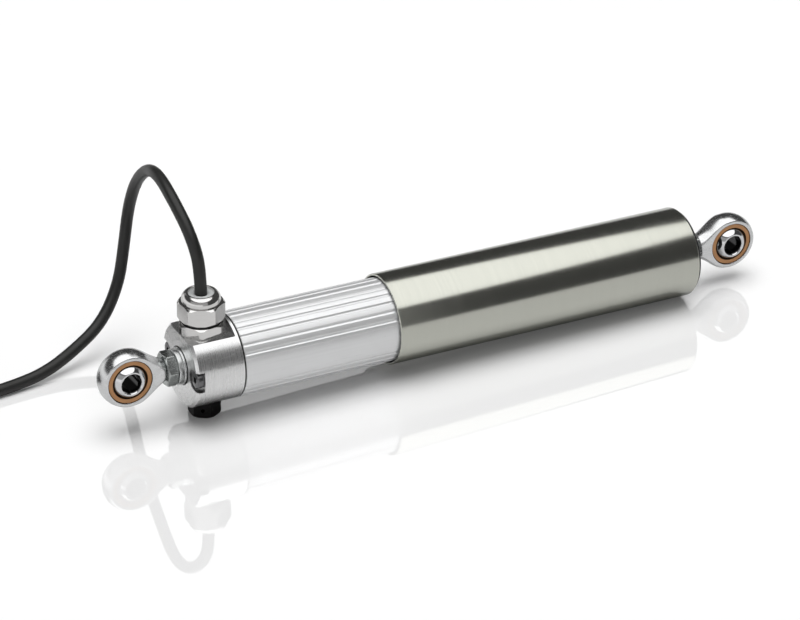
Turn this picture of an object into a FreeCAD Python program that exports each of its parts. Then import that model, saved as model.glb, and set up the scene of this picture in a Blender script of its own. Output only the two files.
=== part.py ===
import FreeCAD, Part
import math
import os
import Sketcher

Vector = FreeCAD.Vector
Rotation = FreeCAD.Rotation
Placement = FreeCAD.Placement

# A rod-type displacement transducer: a potentiometer inside a fluted tube, read by a wiper
# that a push rod draws along. The frame has its origin at the centre of the fixed spherical
# bearing, +X along the axis towards the moving bearing, +Z up through the cable gland and Y
# along the bores of both bearings. The rod is drawn out to the place that the picture shows.

# Driving dimensions, in millimetres and degrees
SIZES = {
    # Travel
    "stroke": 100.0,
    "drawn_out": 65.0,
    "end_room": 2.0,
    # Spherical bearings and rod ends, alike at both ends
    "setting_length": 23.2,
    "bore_radius": 4.0,
    "ball_radius": 7.9375,
    "ball_width": 12.0,
    "ball_bevel": 0.3,
    "ball_play": 0.03,
    "race_radius": 9.4,
    "race_width": 8.2,
    "race_bevel": 0.8,
    "head_width": 9.0,
    "head_radius": 12.0,
    "head_rim_drop": 1.1,
    "neck_start": 4.0,
    "neck_start_radius": 10.5,
    "neck_gap": 0.1,
    "neck_end_radius": 4.6,
    "thread_engagement": 14.3,
    "thread_spare": 0.5,
    "shank_bevel": 0.8,
    # Thread of the rod ends and what is screwed on it
    "thread_radius": 4.0,
    "seat_gap": 0.02,
    "nut_across": 13.0,
    "nut_height": 4.4,
    "nut_bevel": 0.65,
    "nut_turn": 20.0,
    "lock_washer_radius": 7.4,
    "lock_washer_thickness": 2.0,
    "lock_washer_slit": 0.8,
    "slit_slant": 20.0,
    "flat_washer_radius": 7.7,
    "flat_washer_thickness": 1.2,
    "washer_play": 0.3,
    # End cap
    "body_radius": 17.5,
    "cap_length": 20.6,
    "cap_face_bevel": 1.1,
    "cap_flat_drop": 3.5,
    "cap_rim_width": 1.1,
    "chamber_radius": 10.8,
    "chamber_depth": 4.0,
    # Screws that hold the cap and the flange to the tube
    "screw_inset": 4.2,
    "screw_radius": 2.0,
    "screw_clearance": 0.15,
    "screw_length": 28.0,
    "screw_head_radius": 3.5,
    "screw_head_height": 2.8,
    "screw_socket_across": 2.5,
    "screw_socket_depth": 1.6,
    "screw_pocket_radius": 4.4,
    "screw_pocket_depth": 3.3,
    "gasket_thickness": 0.7,
    "gasket_inset": 0.3,
    "gasket_web": 0.35,
    "gasket_play": 0.05,
    # Cable gland, placed from the face of the cap
    "gland_place": 9.4,
    "gland_thread_radius": 6.0,
    "gland_thread_length": 6.3,
    "gland_bore_radius": 4.0,
    "gland_relief_radius": 4.5,
    "gland_relief_depth": 2.3,
    "gland_across": 17.5,
    "gland_corner_radius": 9.6,
    "gland_hex_height": 4.8,
    "gland_hex_bevel": 0.8,
    "gland_turn": 6.5,
    "gland_neck_radius": 6.6,
    "gland_neck_height": 6.2,
    "o_ring_radius": 8.1,
    "o_ring_thickness": 0.7,
    "gland_nut_radius": 8.05,
    "gland_nut_height": 11.8,
    "gland_nut_grip_start": 0.4,
    "gland_nut_grip_height": 7.4,
    "gland_nut_grip_bevel": 1.0,
    "gland_nut_shoulder": 8.5,
    "gland_nut_top_radius": 6.2,
    "gland_mouth_radius": 5.2,
    "gland_mouth_depth": 2.7,
    "gland_seal_height": 5.9,
    "gland_seal_foot": 1.8,
    "cable_radius": 2.5,
    "cable_gap": 0.05,
    "cable_end_height": 20.0,
    "cross_drilling_radius": 2.0,
    "cross_drilling_drop": 0.8,
    # Vent plug, placed from the face of the cap
    "vent_place": 10.4,
    "vent_thread_radius": 5.0,
    "vent_thread_length": 6.0,
    "vent_hole_spare": 0.5,
    "vent_across": 12.0,
    "vent_corner_radius": 6.7,
    "vent_hex_height": 8.7,
    "vent_hex_bevel": 0.5,
    "vent_turn": 29.6,
    "vent_spot_radius": 8.0,
    "vent_bore_radius": 2.4,
    "vent_floor": 2.2,
    "vent_hole_radius": 0.8,
    "vent_hole_height": 3.2,
    "vent_seal_radius": 6.0,
    "vent_seal_thickness": 0.8,
    "membrane_radius": 3.0,
    "membrane_thickness": 0.6,
    "membrane_depth": 1.0,
    "vent_drilling_radius": 1.5,
    "vent_drilling_drop": 4.4,
    # Fluted tube
    "back_room": 1.0,
    "front_room": 6.0,
    "tube_wall": 3.0,
    "port_boss_radius": 3.8,
    "flute_radius": 1.0,
    "flute_depth": 0.35,
    "flute_pitch": 12.0,
    "window_top": 26.5,
    "window_bottom": 24.0,
    # Potentiometer
    "board_height": 9.0,
    "board_thickness": 1.6,
    "board_groove_depth": 0.63,
    "board_back_margin": 1.5,
    "board_front_margin": 0.5,
    "solder_gap": 0.3,
    "board_clearance": 0.2,
    "pin_radius": 0.4,
    "pin_pitch": 2.5,
    "pin_overlap": 4.0,
    "pin_reach": 3.5,
    "lead_radius": 0.45,
    "lead_pitch": 1.1,
    # Wiper carriage and its coupling to the rod
    "carriage_length": 20.0,
    "carriage_clearance": 0.3,
    "carriage_top": 7.6,
    "boss_clearance": 0.4,
    "coupling_wall": 2.4,
    "coupling_play": 0.1,
    "coupling_head_radius": 5.0,
    "coupling_head_length": 2.5,
    "coupling_neck_radius": 3.0,
    "coupling_neck_length": 3.0,
    "brush_start": 6.5,
    "brush_base_length": 4.0,
    "brush_base_thickness": 0.5,
    "brush_reach": 8.0,
    "brush_leaf": 0.25,
    "brush_leaf_width": 4.0,
    "brush_spread": 8.0,
    "brush_gap": 0.06,
    # Flange that guides the rod
    "flange_length": 6.0,
    "flange_boss_length": 3.5,
    "flange_boss_radius": 9.3,
    "flange_bevel": 0.6,
    "bush_radius": 7.8,
    "bush_length": 7.0,
    "bush_running_gap": 0.02,
    "wiper_radius": 8.6,
    "wiper_running_gap": 0.06,
    "wiper_lip": 0.8,
    # Push rod, hub and protective sleeve
    "rod_radius": 6.0,
    "rod_spigot_radius": 5.4,
    "hub_thickness": 9.3,
    "hub_proud": 1.3,
    "hub_face_radius": 17.0,
    "sleeve_clearance": 0.5,
    "sleeve_wall": 1.0,
    "sleeve_edge_bevel": 0.2,
    "sleeve_lap": 3.8,
    # Coil of spare cable, with its tie and the bare leads
    "coil_columns": 2.0,
    "coil_layers": 2.0,
    "coil_middle_radius": 28.5,
    "tie_width": 9.0,
    "tie_thickness": 0.5,
    "free_lead_radius": 0.75,
    "free_lead_pitch": 1.8,
    "free_lead_start": -75.0,
    "free_lead_turn": 75.0,
    "ferrule_radius": 0.55,
    "ferrule_length": 8.0,
}

# The route of the cable from the gland over the device and along the surface to the coil,
# and the middle of the coil, where the spare cable lies
CABLE_ROUTE = [
    (32.6, 0.0, 20.0),
    (32.6, 0.0, 37.5),
    (30.7, 6.0, 52.9),
    (29.6, 19.4, 63.7),
    (30.6, 36.3, 67.0),
    (32.8, 52.6, 61.8),
    (32.9, 65.1, 50.6),
    (32.4, 72.7, 34.9),
    (30.2, 72.9, 17.6),
    (25.4, 68.2, 2.6),
    (15.1, 62.0, -10.0),
    (0.4, 56.4, -16.6),
    (-14.9, 51.1, -21.0),
    (-31.6, 48.6, -22.4),
    (-48.5, 47.2, -22.6),
    (-65.0, 45.2, -22.7),
]
COIL_MIDDLE = (-68.7, 76.0)
RUN_SHARE = 0.45


class Length:
    """A size that carries its number and the expression that the document keeps for it."""

    def __init__(self, value, text):
        self.value = value
        self.text = text

    def __add__(self, other):
        other = as_length(other)
        return Length(self.value + other.value, f"({self.text} + {other.text})")

    def __radd__(self, other):
        return as_length(other) + self

    def __sub__(self, other):
        other = as_length(other)
        return Length(self.value - other.value, f"({self.text} - {other.text})")

    def __rsub__(self, other):
        return as_length(other) - self

    def __mul__(self, other):
        other = as_length(other)
        return Length(self.value * other.value, f"({self.text} * {other.text})")

    def __rmul__(self, other):
        return as_length(other) * self

    def __truediv__(self, other):
        other = as_length(other)
        return Length(self.value / other.value, f"({self.text} / {other.text})")

    def __neg__(self):
        return Length(-self.value, f"(-{self.text})")

    def root(self):
        return Length(math.sqrt(self.value), f"sqrt({self.text})")


def as_length(value):
    """A plain number as a Length; a Length comes back as it is."""
    if isinstance(value, Length):
        return value
    return Length(float(value), f"{float(value):.10g}")


class Sizes:
    """The driving dimensions, each as a Length under its own name."""


def write_sheet(document):
    """Keep the driving dimensions in the document's spreadsheet and return them by name."""
    sheet = document.addObject("Spreadsheet::Sheet", "Sizes")
    sizes = Sizes()
    for row, (alias, value) in enumerate(SIZES.items(), start=1):
        sheet.set(f"A{row}", alias)
        sheet.set(f"B{row}", str(value))
        sheet.setAlias(f"B{row}", alias)
        setattr(sizes, alias, Length(value, f"Sizes.{alias}"))
    document.recompute()
    return sizes


document = FreeCAD.newDocument("linear_transducer")
size = write_sheet(document)
pieces = []


# Helpers that make features and bind them to the sheet

def bind(feature, path, value):
    """Bind one property of a feature to a size."""
    if isinstance(value, Length):
        feature.setExpression(path, value.text)
    else:
        setattr(feature, path, value)


def place(feature, x=0, y=0, z=0, rotation=None):
    """Put a feature at a point, each coordinate bound to its size."""
    point = [as_length(coordinate) for coordinate in (x, y, z)]
    feature.Placement = Placement(Vector(*(p.value for p in point)), rotation or Rotation())
    for axis, coordinate in zip("xyz", (x, y, z)):
        if isinstance(coordinate, Length):
            feature.setExpression(f".Placement.Base.{axis}", coordinate.text)
    return feature


def keep(feature, label):
    """Note a feature as one finished piece under its own label."""
    feature.Label = label
    pieces.append(feature)
    return feature


def origin_plane(body, role):
    """The plane or axis of a body's own origin that has this role."""
    return next(item for item in body.Origin.OriginFeatures if item.Role == role)


def new_sketch(body, role):
    """An empty sketch on one plane of the body's own origin."""
    sketch = body.newObject("Sketcher::SketchObject", f"{body.Name}_sketch")
    sketch.AttachmentSupport = (origin_plane(body, role), [""])
    sketch.MapMode = "FlatFace"
    return sketch


def arc_between(start, end, bulge):
    """The arc from start to end with the radius of bulge, to the left of the way if positive."""
    radius = abs(bulge)
    middle = (start + end) * 0.5
    along = end - start
    side = Vector(-along.y, along.x, 0).normalize()
    rise = math.sqrt(max(radius ** 2 - (along.Length / 2) ** 2, 0))
    center = middle - side * math.copysign(rise, bulge)
    first, last = (end, start) if bulge > 0 else (start, end)
    angles = [math.atan2(point.y - center.y, point.x - center.x) for point in (first, last)]
    return Part.ArcOfCircle(Part.Circle(center, Vector(0, 0, 1), radius), *angles)


def draw_outline(sketch, points):
    """Draw a closed outline. A point is (first, second) or (first, second, bulge radius)."""
    spots = [Vector(as_length(p[0]).value, as_length(p[1]).value, 0) for p in points]
    count = len(points)
    ends = []
    for index, point in enumerate(points):
        start, end = spots[index], spots[(index + 1) % count]
        if len(point) == 3:
            bulge = as_length(point[2])
            edge = sketch.addGeometry(arc_between(start, end, bulge.value), False)
            ends.append((edge, 2, 1) if bulge.value > 0 else (edge, 1, 2))
            hold = Sketcher.Constraint("Radius", edge, abs(bulge.value))
            constraint = sketch.addConstraint(hold)
            sketch.setExpression(f"Constraints[{constraint}]", f"abs({bulge.text})")
        else:
            edge = sketch.addGeometry(Part.LineSegment(start, end), False)
            ends.append((edge, 1, 2))
    for index in range(count):
        edge, _, last = ends[index]
        following, first, _ = ends[(index + 1) % count]
        sketch.addConstraint(Sketcher.Constraint("Coincident", edge, last, following, first))
    for index, point in enumerate(points):
        edge, first, _ = ends[index]
        for kind, axis, coordinate in (("DistanceX", -2, point[0]), ("DistanceY", -1, point[1])):
            hold_point(sketch, edge, first, kind, axis, coordinate)


def hold_point(sketch, edge, end, kind, axis, coordinate):
    """Hold one end of an edge at a coordinate, on the axis itself where that is a plain zero."""
    if not isinstance(coordinate, Length) and coordinate == 0:
        sketch.addConstraint(Sketcher.Constraint("PointOnObject", edge, end, axis))
        return
    coordinate = as_length(coordinate)
    hold = Sketcher.Constraint(kind, -1, 1, edge, end, coordinate.value)
    constraint = sketch.addConstraint(hold)
    sketch.setExpression(f"Constraints[{constraint}]", coordinate.text)


def turned(name, axis, points):
    """A body turned about X, Y or Z from an outline of (place along the axis, radius) points."""
    body = document.addObject("PartDesign::Body", name)
    sketch = new_sketch(body, "XZ_Plane" if axis == "Z" else "XY_Plane")
    if axis != "X":
        points = [(p[1], p[0], *(-as_length(bulge) for bulge in p[2:])) for p in points]
    draw_outline(sketch, points)
    turn = body.newObject("PartDesign::Revolution", f"{name}_turn")
    turn.Profile = sketch
    turn.ReferenceAxis = (sketch, ["H_Axis" if axis == "X" else "V_Axis"])
    turn.Angle = 360
    return body


def padded(name, role, points, thickness):
    """A body padded to both sides of one plane of its origin from a closed outline."""
    body = document.addObject("PartDesign::Body", name)
    sketch = new_sketch(body, role)
    draw_outline(sketch, points)
    pad = body.newObject("PartDesign::Pad", f"{name}_pad")
    pad.Profile = sketch
    pad.Midplane = True
    bind(pad, "Length", thickness)
    return body


ALONG_X = Rotation(Vector(0, 1, 0), 90)
ALONG_Y = Rotation(Vector(1, 0, 0), -90)
ABOUT_Z_HALF = Rotation(Vector(0, 0, 1), 180)


def cylinder(name, radius, height, x=0, y=0, z=0, rotation=None):
    """A cylinder from a point along Z, or along the way that the rotation gives."""
    feature = document.addObject("Part::Cylinder", name)
    bind(feature, "Radius", radius)
    bind(feature, "Height", height)
    return place(feature, x, y, z, rotation)


def box(name, length, width, height, x=0, y=0, z=0, rotation=None):
    """A box with its lowest corner at a point."""
    feature = document.addObject("Part::Box", name)
    bind(feature, "Length", length)
    bind(feature, "Width", width)
    bind(feature, "Height", height)
    return place(feature, x, y, z, rotation)


def hexagon(name, across, height, x=0, y=0, z=0, rotation=None):
    """A six-sided prism from a point along Z, or along the way that the rotation gives."""
    feature = document.addObject("Part::Prism", name)
    feature.Polygon = 6
    bind(feature, "Circumradius", across / math.sqrt(3))
    bind(feature, "Height", height)
    return place(feature, x, y, z, rotation)


def sphere(name, radius):
    """A sphere about the origin."""
    feature = document.addObject("Part::Sphere", name)
    bind(feature, "Radius", radius)
    return feature


def fuse(name, features):
    """One solid from several that meet."""
    feature = document.addObject("Part::MultiFuse", name)
    feature.Shapes = features
    return feature


def common(name, features):
    """What several solids share."""
    feature = document.addObject("Part::MultiCommon", name)
    feature.Shapes = features
    return feature


def cut(name, base, tools):
    """The base without its tools."""
    feature = document.addObject("Part::Cut", name)
    feature.Base = base
    feature.Tool = tools[0] if len(tools) == 1 else fuse(f"{name}_tools", tools)
    return feature


def group(name, features):
    """Several alike solids kept as one piece."""
    feature = document.addObject("Part::Compound", name)
    feature.Links = features
    return feature


def solid(name, shape):
    """A piece whose shape is worked out from the sizes by itself."""
    feature = document.addObject("Part::Feature", name)
    feature.Shape = shape
    return feature


def tangent_path(points, share=RUN_SHARE):
    """Straight runs joined by tangent arcs, with the length and the radius of each arc."""
    edges = []
    radii = []
    start = points[0]
    for before, corner, after in zip(points, points[1:], points[2:]):
        back = (before - corner).normalize()
        onward = (after - corner).normalize()
        shorter = min(before.distanceToPoint(corner), after.distanceToPoint(corner))
        half_turn = (math.pi - back.getAngle(onward)) / 2
        reach = share * shorter
        radius = reach / math.tan(half_turn)
        first = corner + back * reach
        last = corner + onward * reach
        toward = (back + onward).normalize()
        depth = radius / math.cos(half_turn) - radius
        edges.append(Part.LineSegment(start, first).toShape())
        edges.append(Part.Arc(first, corner + toward * depth, last).toShape())
        radii.append(radius)
        start = last
    edges.append(Part.LineSegment(start, points[-1]).toShape())
    return Part.Wire(edges), radii


def tube_along(points, radius, report=None):
    """A round solid along straight runs and tangent arcs, with its volume compared."""
    path, radii = tangent_path(points)
    way = points[1] - points[0]
    section = Part.Wire([Part.Circle(points[0], way, radius).toShape()])
    tube = path.makePipeShell([section], True, False)
    expected = math.pi * radius ** 2 * path.Length
    if abs(tube.Volume - expected) > expected * 0.01:
        raise ValueError(f"tube volume {tube.Volume:.1f} is not {expected:.1f}")
    if report:
        print(report, "length", round(path.Length, 1), "radii", [round(r, 1) for r in radii])
    return tube


# Places along the axis, each worked out from the driving dimensions

cap_face = size.setting_length
cap_joint = cap_face + size.cap_length
tube_back = cap_joint + size.gasket_thickness
tube_length = size.stroke + size.carriage_length + size.back_room + size.front_room
tube_front = tube_back + tube_length
flange_back = tube_front + size.gasket_thickness
flange_boss_back = tube_front - size.flange_boss_length
flange_face = flange_back + size.flange_length
carriage_back = tube_back + size.back_room + size.drawn_out
coupling_face = carriage_back + size.coupling_wall + size.coupling_play
hub_back = flange_face + size.end_room + size.drawn_out
hub_face = hub_back + size.hub_thickness
moving_eye = hub_face + size.setting_length
sleeve_edge = cap_joint + size.sleeve_lap + size.drawn_out
sleeve_end = hub_face - size.hub_proud

gland_axis = cap_face + size.gland_place
vent_axis = cap_face + size.vent_place
cavity_radius = size.body_radius - size.tube_wall
sleeve_inner_radius = size.body_radius + size.sleeve_clearance
screw_offset = size.body_radius - size.screw_inset
cap_flat_height = size.body_radius - size.cap_flat_drop
crossing_height = cap_flat_height - size.gland_thread_length - size.cross_drilling_drop
vent_drilling_height = cap_flat_height - size.vent_drilling_drop
board_chord = cavity_radius * cavity_radius - size.board_height * size.board_height
board_half_width = board_chord.root() + size.board_groove_depth
plug_bottom = -cap_flat_height - size.vent_seal_thickness - size.vent_hex_height
shank_radius = size.thread_radius - size.seat_gap
hole_radius = size.screw_radius + size.screw_clearance
flat_washer_place = size.setting_length - size.flat_washer_thickness
lock_washer_place = flat_washer_place - size.lock_washer_thickness
nut_place = lock_washer_place - size.nut_height
neck_end = nut_place - size.neck_gap
shank_end = size.setting_length + size.thread_engagement
thread_depth = size.thread_engagement + size.thread_spare


# The surface that the device lies on touches the foot of the vent plug and the moving end of
# the sleeve, so it rises a little along +X

surface_start = vent_axis + size.vent_across / 2
surface_rise = -plug_bottom - sleeve_inner_radius - size.sleeve_wall
surface_slope = surface_rise / (sleeve_end - surface_start)
surface_angle = math.degrees(math.atan(surface_slope.value))


def surface_height(x):
    """The height of that surface at a place along X."""
    return plug_bottom + surface_slope * (x - surface_start)


# Rod end bearings and what is screwed on their shanks, about their own eye and towards +X

def rod_end(label):
    """The forged rod end: a barrel-shaped eye, a flattened neck and a threaded shank."""
    half = size.head_width / 2
    rim = size.head_radius - size.head_rim_drop
    bulge = (half * half + size.head_rim_drop * size.head_rim_drop) / (2 * size.head_rim_drop)
    head = turned(f"{label}_head", "Y", [
        (-half, 0),
        (-half, rim, bulge),
        (half, rim),
        (half, 0),
    ])
    shank = turned(f"{label}_shank", "X", [
        (size.neck_start, 0),
        (size.neck_start, size.neck_start_radius),
        (neck_end, size.neck_end_radius),
        (neck_end, shank_radius),
        (shank_end - size.shank_bevel, shank_radius),
        (shank_end, shank_radius - size.shank_bevel),
        (shank_end, 0),
    ])
    reach = size.neck_start_radius
    slab = box(f"{label}_slab", shank_end, size.head_width, 2 * reach, 0, -half, -reach)
    blank = fuse(f"{label}_blank", [head, common(f"{label}_neck", [shank, slab])])
    seat = cylinder(f"{label}_seat", size.race_radius + size.seat_gap, size.head_width,
                    0, -half, 0, ALONG_Y)
    return cut(label, blank, [seat])


def race(label):
    """The bronze race, hollowed to the ball and bevelled at its mouth."""
    half = size.race_width / 2
    throat = size.ball_radius - size.race_bevel * 2
    ring = turned(f"{label}_ring", "Y", [
        (-half, throat + size.race_bevel),
        (-half, size.race_radius),
        (half, size.race_radius),
        (half, throat + size.race_bevel),
        (half - size.race_bevel, throat),
        (size.race_bevel - half, throat),
    ])
    return cut(label, ring, [sphere(f"{label}_hollow", size.ball_radius + size.ball_play)])


def ball(label):
    """The ball with its flat faces and its bore."""
    half = size.ball_width / 2
    mouth = size.bore_radius + size.ball_bevel
    sleeve = turned(f"{label}_sleeve", "Y", [
        (size.ball_bevel - half, size.bore_radius),
        (-half, mouth),
        (-half, size.ball_radius + 1),
        (half, size.ball_radius + 1),
        (half, mouth),
        (half - size.ball_bevel, size.bore_radius),
    ])
    return common(label, [sphere(f"{label}_sphere", size.ball_radius), sleeve])


def jam_nut(label):
    """The thin hexagon nut, bevelled on both faces."""
    corner = size.nut_across / math.sqrt(3)
    rotation = Rotation(Vector(1, 0, 0), SIZES["nut_turn"]) * ALONG_X
    prism = hexagon(f"{label}_prism", size.nut_across, size.nut_height, nut_place, 0, 0, rotation)
    face = size.nut_across / 2 - 0.2
    limit = turned(f"{label}_limit", "X", [
        (nut_place, size.thread_radius),
        (nut_place, face),
        (nut_place + size.nut_bevel, corner + 0.1),
        (nut_place + size.nut_height - size.nut_bevel, corner + 0.1),
        (nut_place + size.nut_height, face),
        (nut_place + size.nut_height, size.thread_radius),
    ])
    return common(label, [prism, limit])


def lock_washer(label):
    """The split spring washer, with its slanted slit away from the top."""
    bore = size.thread_radius + size.washer_play
    ring = turned(f"{label}_ring", "X", [
        (lock_washer_place, bore),
        (lock_washer_place, size.lock_washer_radius),
        (lock_washer_place + size.lock_washer_thickness, size.lock_washer_radius),
        (lock_washer_place + size.lock_washer_thickness, bore),
    ])
    slant = Rotation(Vector(0, 0, 1), SIZES["slit_slant"])
    length = size.lock_washer_thickness * 2
    slit = box(f"{label}_slit", length, size.lock_washer_slit, size.lock_washer_radius + 1,
               lock_washer_place - size.lock_washer_thickness / 2, -size.lock_washer_slit,
               -size.lock_washer_radius - 1, slant)
    return cut(label, ring, [slit])


def flat_washer(label):
    """The plain washer against the cap or the hub."""
    bore = size.thread_radius + size.washer_play
    return turned(label, "X", [
        (flat_washer_place, bore),
        (flat_washer_place, size.flat_washer_radius),
        (flat_washer_place + size.flat_washer_thickness, size.flat_washer_radius),
        (flat_washer_place + size.flat_washer_thickness, bore),
    ])


def bearing_set(side):
    """All the pieces of one end; the moving end is the fixed one turned round."""
    makers = {
        "rod_end": rod_end,
        "race": race,
        "ball": ball,
        "jam_nut": jam_nut,
        "lock_washer": lock_washer,
        "flat_washer": flat_washer,
    }
    for name, maker in makers.items():
        feature = maker(f"{side}_{name}")
        if side == "moving":
            place(feature, moving_eye, 0, 0, ABOUT_Z_HALF)
        keep(feature, f"{side}_{name}")


# The end cap and what is screwed into it

def screw_pockets(name, depth_from, depth_to, reach):
    """Round-bottomed pockets for the two screw heads, open to the side."""
    pockets = []
    length = depth_to - depth_from
    radius = size.screw_pocket_radius
    for side, sign in (("near", -1), ("far", 1)):
        middle = screw_offset * sign
        pockets.append(cylinder(f"{name}_{side}_round", radius, length,
                                depth_from, middle, 0, ALONG_X))
        low = middle if sign > 0 else middle - reach
        pockets.append(box(f"{name}_{side}_slot", length, reach, 2 * radius,
                           depth_from, low, -radius))
    return pockets


def screw_holes(name, radius, start, length):
    """Two holes along X for the screws."""
    return [
        cylinder(f"{name}_{side}", radius, length, start, screw_offset * sign, 0, ALONG_X)
        for side, sign in (("near", -1), ("far", 1))
    ]


def end_cap():
    """The turned cap with its flat, its spot face, its screw pockets and its drillings."""
    face_radius = size.body_radius - size.cap_face_bevel
    hole_end = cap_face + thread_depth
    chamber = cap_joint - size.chamber_depth
    blank = turned("end_cap_blank", "X", [
        (cap_face, size.thread_radius),
        (cap_face, face_radius),
        (cap_face + size.cap_face_bevel, size.body_radius),
        (cap_joint, size.body_radius),
        (cap_joint, size.chamber_radius),
        (chamber, size.chamber_radius),
        (chamber, 0),
        (hole_end, 0),
        (hole_end, size.thread_radius),
    ])
    flat_length = size.cap_length - size.cap_rim_width
    width = 2 * size.body_radius
    depth = size.body_radius - cap_flat_height
    top = box("end_cap_top_flat", flat_length, width, depth,
              cap_face, -size.body_radius, cap_flat_height)
    bottom = cylinder("end_cap_spot_face", size.vent_spot_radius, depth,
                      vent_axis, 0, -size.body_radius)
    gland_floor = cap_flat_height - size.gland_thread_length - size.seat_gap
    gland_hole = cylinder("end_cap_gland_hole", size.gland_thread_radius,
                          size.gland_thread_length + size.seat_gap, gland_axis, 0, gland_floor)
    relief = cylinder("end_cap_gland_relief", size.gland_relief_radius, size.gland_relief_depth,
                      gland_axis, 0, gland_floor - size.gland_relief_depth)
    crossing = cylinder("end_cap_cross_drilling", size.cross_drilling_radius,
                        chamber - gland_axis, gland_axis, 0, crossing_height, ALONG_X)
    vent_depth = size.vent_thread_length + size.vent_hole_spare
    vent_hole = cylinder("end_cap_vent_hole", size.vent_thread_radius, vent_depth,
                         vent_axis, 0, -cap_flat_height)
    venting = cylinder("end_cap_vent_drilling", size.vent_drilling_radius,
                       chamber - vent_axis, vent_axis, 0, -vent_drilling_height, ALONG_X)
    pockets = screw_pockets("end_cap_pocket", cap_face, cap_face + size.screw_pocket_depth,
                            size.body_radius)
    holes = screw_holes("end_cap_hole", hole_radius, cap_face, size.cap_length)
    tools = [top, bottom, gland_hole, relief, crossing, vent_hole, venting, *pockets, *holes]
    keep(cut("end_cap", blank, tools), "end_cap")


def socket_screw(name, seat, sign, y_sign):
    """One low-head socket screw from its seat, its shank towards +X or -X by the sign."""
    head_end = seat - size.screw_head_height * sign
    shank = turned(f"{name}_shank", "X", [
        (head_end, 0),
        (head_end, size.screw_head_radius - 0.3),
        (head_end + 0.3 * sign, size.screw_head_radius),
        (seat, size.screw_head_radius),
        (seat, size.screw_radius - size.seat_gap),
        (seat + size.screw_length * sign, size.screw_radius - size.seat_gap),
        (seat + size.screw_length * sign, 0),
    ])
    socket_from = head_end if sign > 0 else head_end - size.screw_socket_depth
    socket = hexagon(f"{name}_socket", size.screw_socket_across, size.screw_socket_depth,
                     socket_from, 0, 0, ALONG_X)
    return place(cut(name, shank, [socket]), 0, screw_offset * y_sign, 0)


def screw_pair(label, seat, sign):
    """The two screws of one end as one piece."""
    screws = [socket_screw(f"{label}_{side}", seat, sign, y_sign)
              for side, y_sign in (("near", -1), ("far", 1))]
    keep(group(label, screws), label)


def gasket(label, start, inner_radius):
    """A flat gasket between the tube and what closes it."""
    ring = turned(f"{label}_ring", "X", [
        (start, inner_radius),
        (start, size.body_radius - size.gasket_inset),
        (start + size.gasket_thickness, size.body_radius - size.gasket_inset),
        (start + size.gasket_thickness, inner_radius),
    ])
    holes = screw_holes(f"{label}_hole", hole_radius, start, size.gasket_thickness)
    keep(cut(label, ring, holes), label)


def bevelled_hexagon(name, across, corner, height, bevel, turn, bore, x, z):
    """An upright hexagon with its corners turned down and bevelled, and a bore through it."""
    face = across / 2
    rotation = Rotation(Vector(0, 0, 1), turn)
    prism = hexagon(f"{name}_prism", across, height, x, 0, z, rotation)
    limit = turned(f"{name}_limit", "Z", [
        (z, bore),
        (z, face + 0.2),
        (z + bevel, corner),
        (z + height - bevel, corner),
        (z + height, face + 0.2),
        (z + height, bore),
    ])
    return common(name, [prism, place(limit, x, 0, 0)])


def cable_gland():
    """The gland: body, sealing ring, clamping insert and cap nut."""
    seat = cap_flat_height
    neck = seat + size.gland_hex_height
    top = neck + size.gland_neck_height
    hexagonal = bevelled_hexagon("gland_hex", size.gland_across, size.gland_corner_radius,
                                 size.gland_hex_height, size.gland_hex_bevel,
                                 SIZES["gland_turn"], size.gland_bore_radius, gland_axis, seat)
    thread = size.gland_thread_radius - size.seat_gap
    tube = turned("gland_tube", "Z", [
        (seat - size.gland_thread_length, size.gland_bore_radius),
        (seat - size.gland_thread_length, thread),
        (seat + size.gland_hex_height / 2, thread),
        (seat + size.gland_hex_height / 2, size.gland_neck_radius - size.seat_gap),
        (top, size.gland_neck_radius - size.seat_gap),
        (top, size.gland_bore_radius),
    ])
    keep(fuse("gland_body", [hexagonal, place(tube, gland_axis, 0, 0)]), "gland_body")

    nut_seat = neck + size.o_ring_thickness
    ring = turned("gland_o_ring", "Z", [
        (neck, size.gland_neck_radius),
        (neck, size.o_ring_radius),
        (nut_seat, size.o_ring_radius),
        (nut_seat, size.gland_neck_radius),
    ])
    keep(place(ring, gland_axis, 0, 0), "gland_o_ring")

    nut_top = nut_seat + size.gland_nut_height
    mouth = nut_top - size.gland_mouth_depth
    shoulder = nut_seat + size.gland_nut_shoulder
    rise = size.gland_nut_height - size.gland_nut_shoulder
    drop = size.gland_nut_radius - size.gland_nut_top_radius
    dome = (rise * rise + drop * drop) / (2 * drop)
    outer = turned("gland_nut_shell", "Z", [
        (nut_seat, size.gland_neck_radius),
        (nut_seat, size.gland_nut_radius),
        (shoulder, size.gland_nut_radius, dome),
        (nut_top, size.gland_nut_top_radius),
        (nut_top, size.gland_mouth_radius),
        (mouth, size.gland_mouth_radius),
        (mouth - (size.gland_neck_radius - size.gland_mouth_radius), size.gland_neck_radius),
    ])
    grip = bevelled_hexagon("gland_nut_grip", size.gland_across, size.gland_corner_radius,
                            size.gland_nut_grip_height, size.gland_nut_grip_bevel,
                            SIZES["gland_turn"] + 30, size.gland_neck_radius, gland_axis,
                            nut_seat + size.gland_nut_grip_start)
    keep(fuse("gland_nut", [place(outer, gland_axis, 0, 0), grip]), "gland_nut")

    seal_top = top + size.gland_seal_height
    seal_radius = size.gland_mouth_radius - size.seat_gap
    foot_radius = size.gland_neck_radius - 0.2
    bore = size.cable_radius + size.cable_gap
    seal = turned("gland_seal", "Z", [
        (top, bore),
        (top, foot_radius),
        (top + size.gland_seal_foot, foot_radius),
        (mouth - 0.2, seal_radius),
        (seal_top, seal_radius),
        (seal_top, bore),
    ])
    keep(place(seal, gland_axis, 0, 0), "gland_seal")


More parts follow.
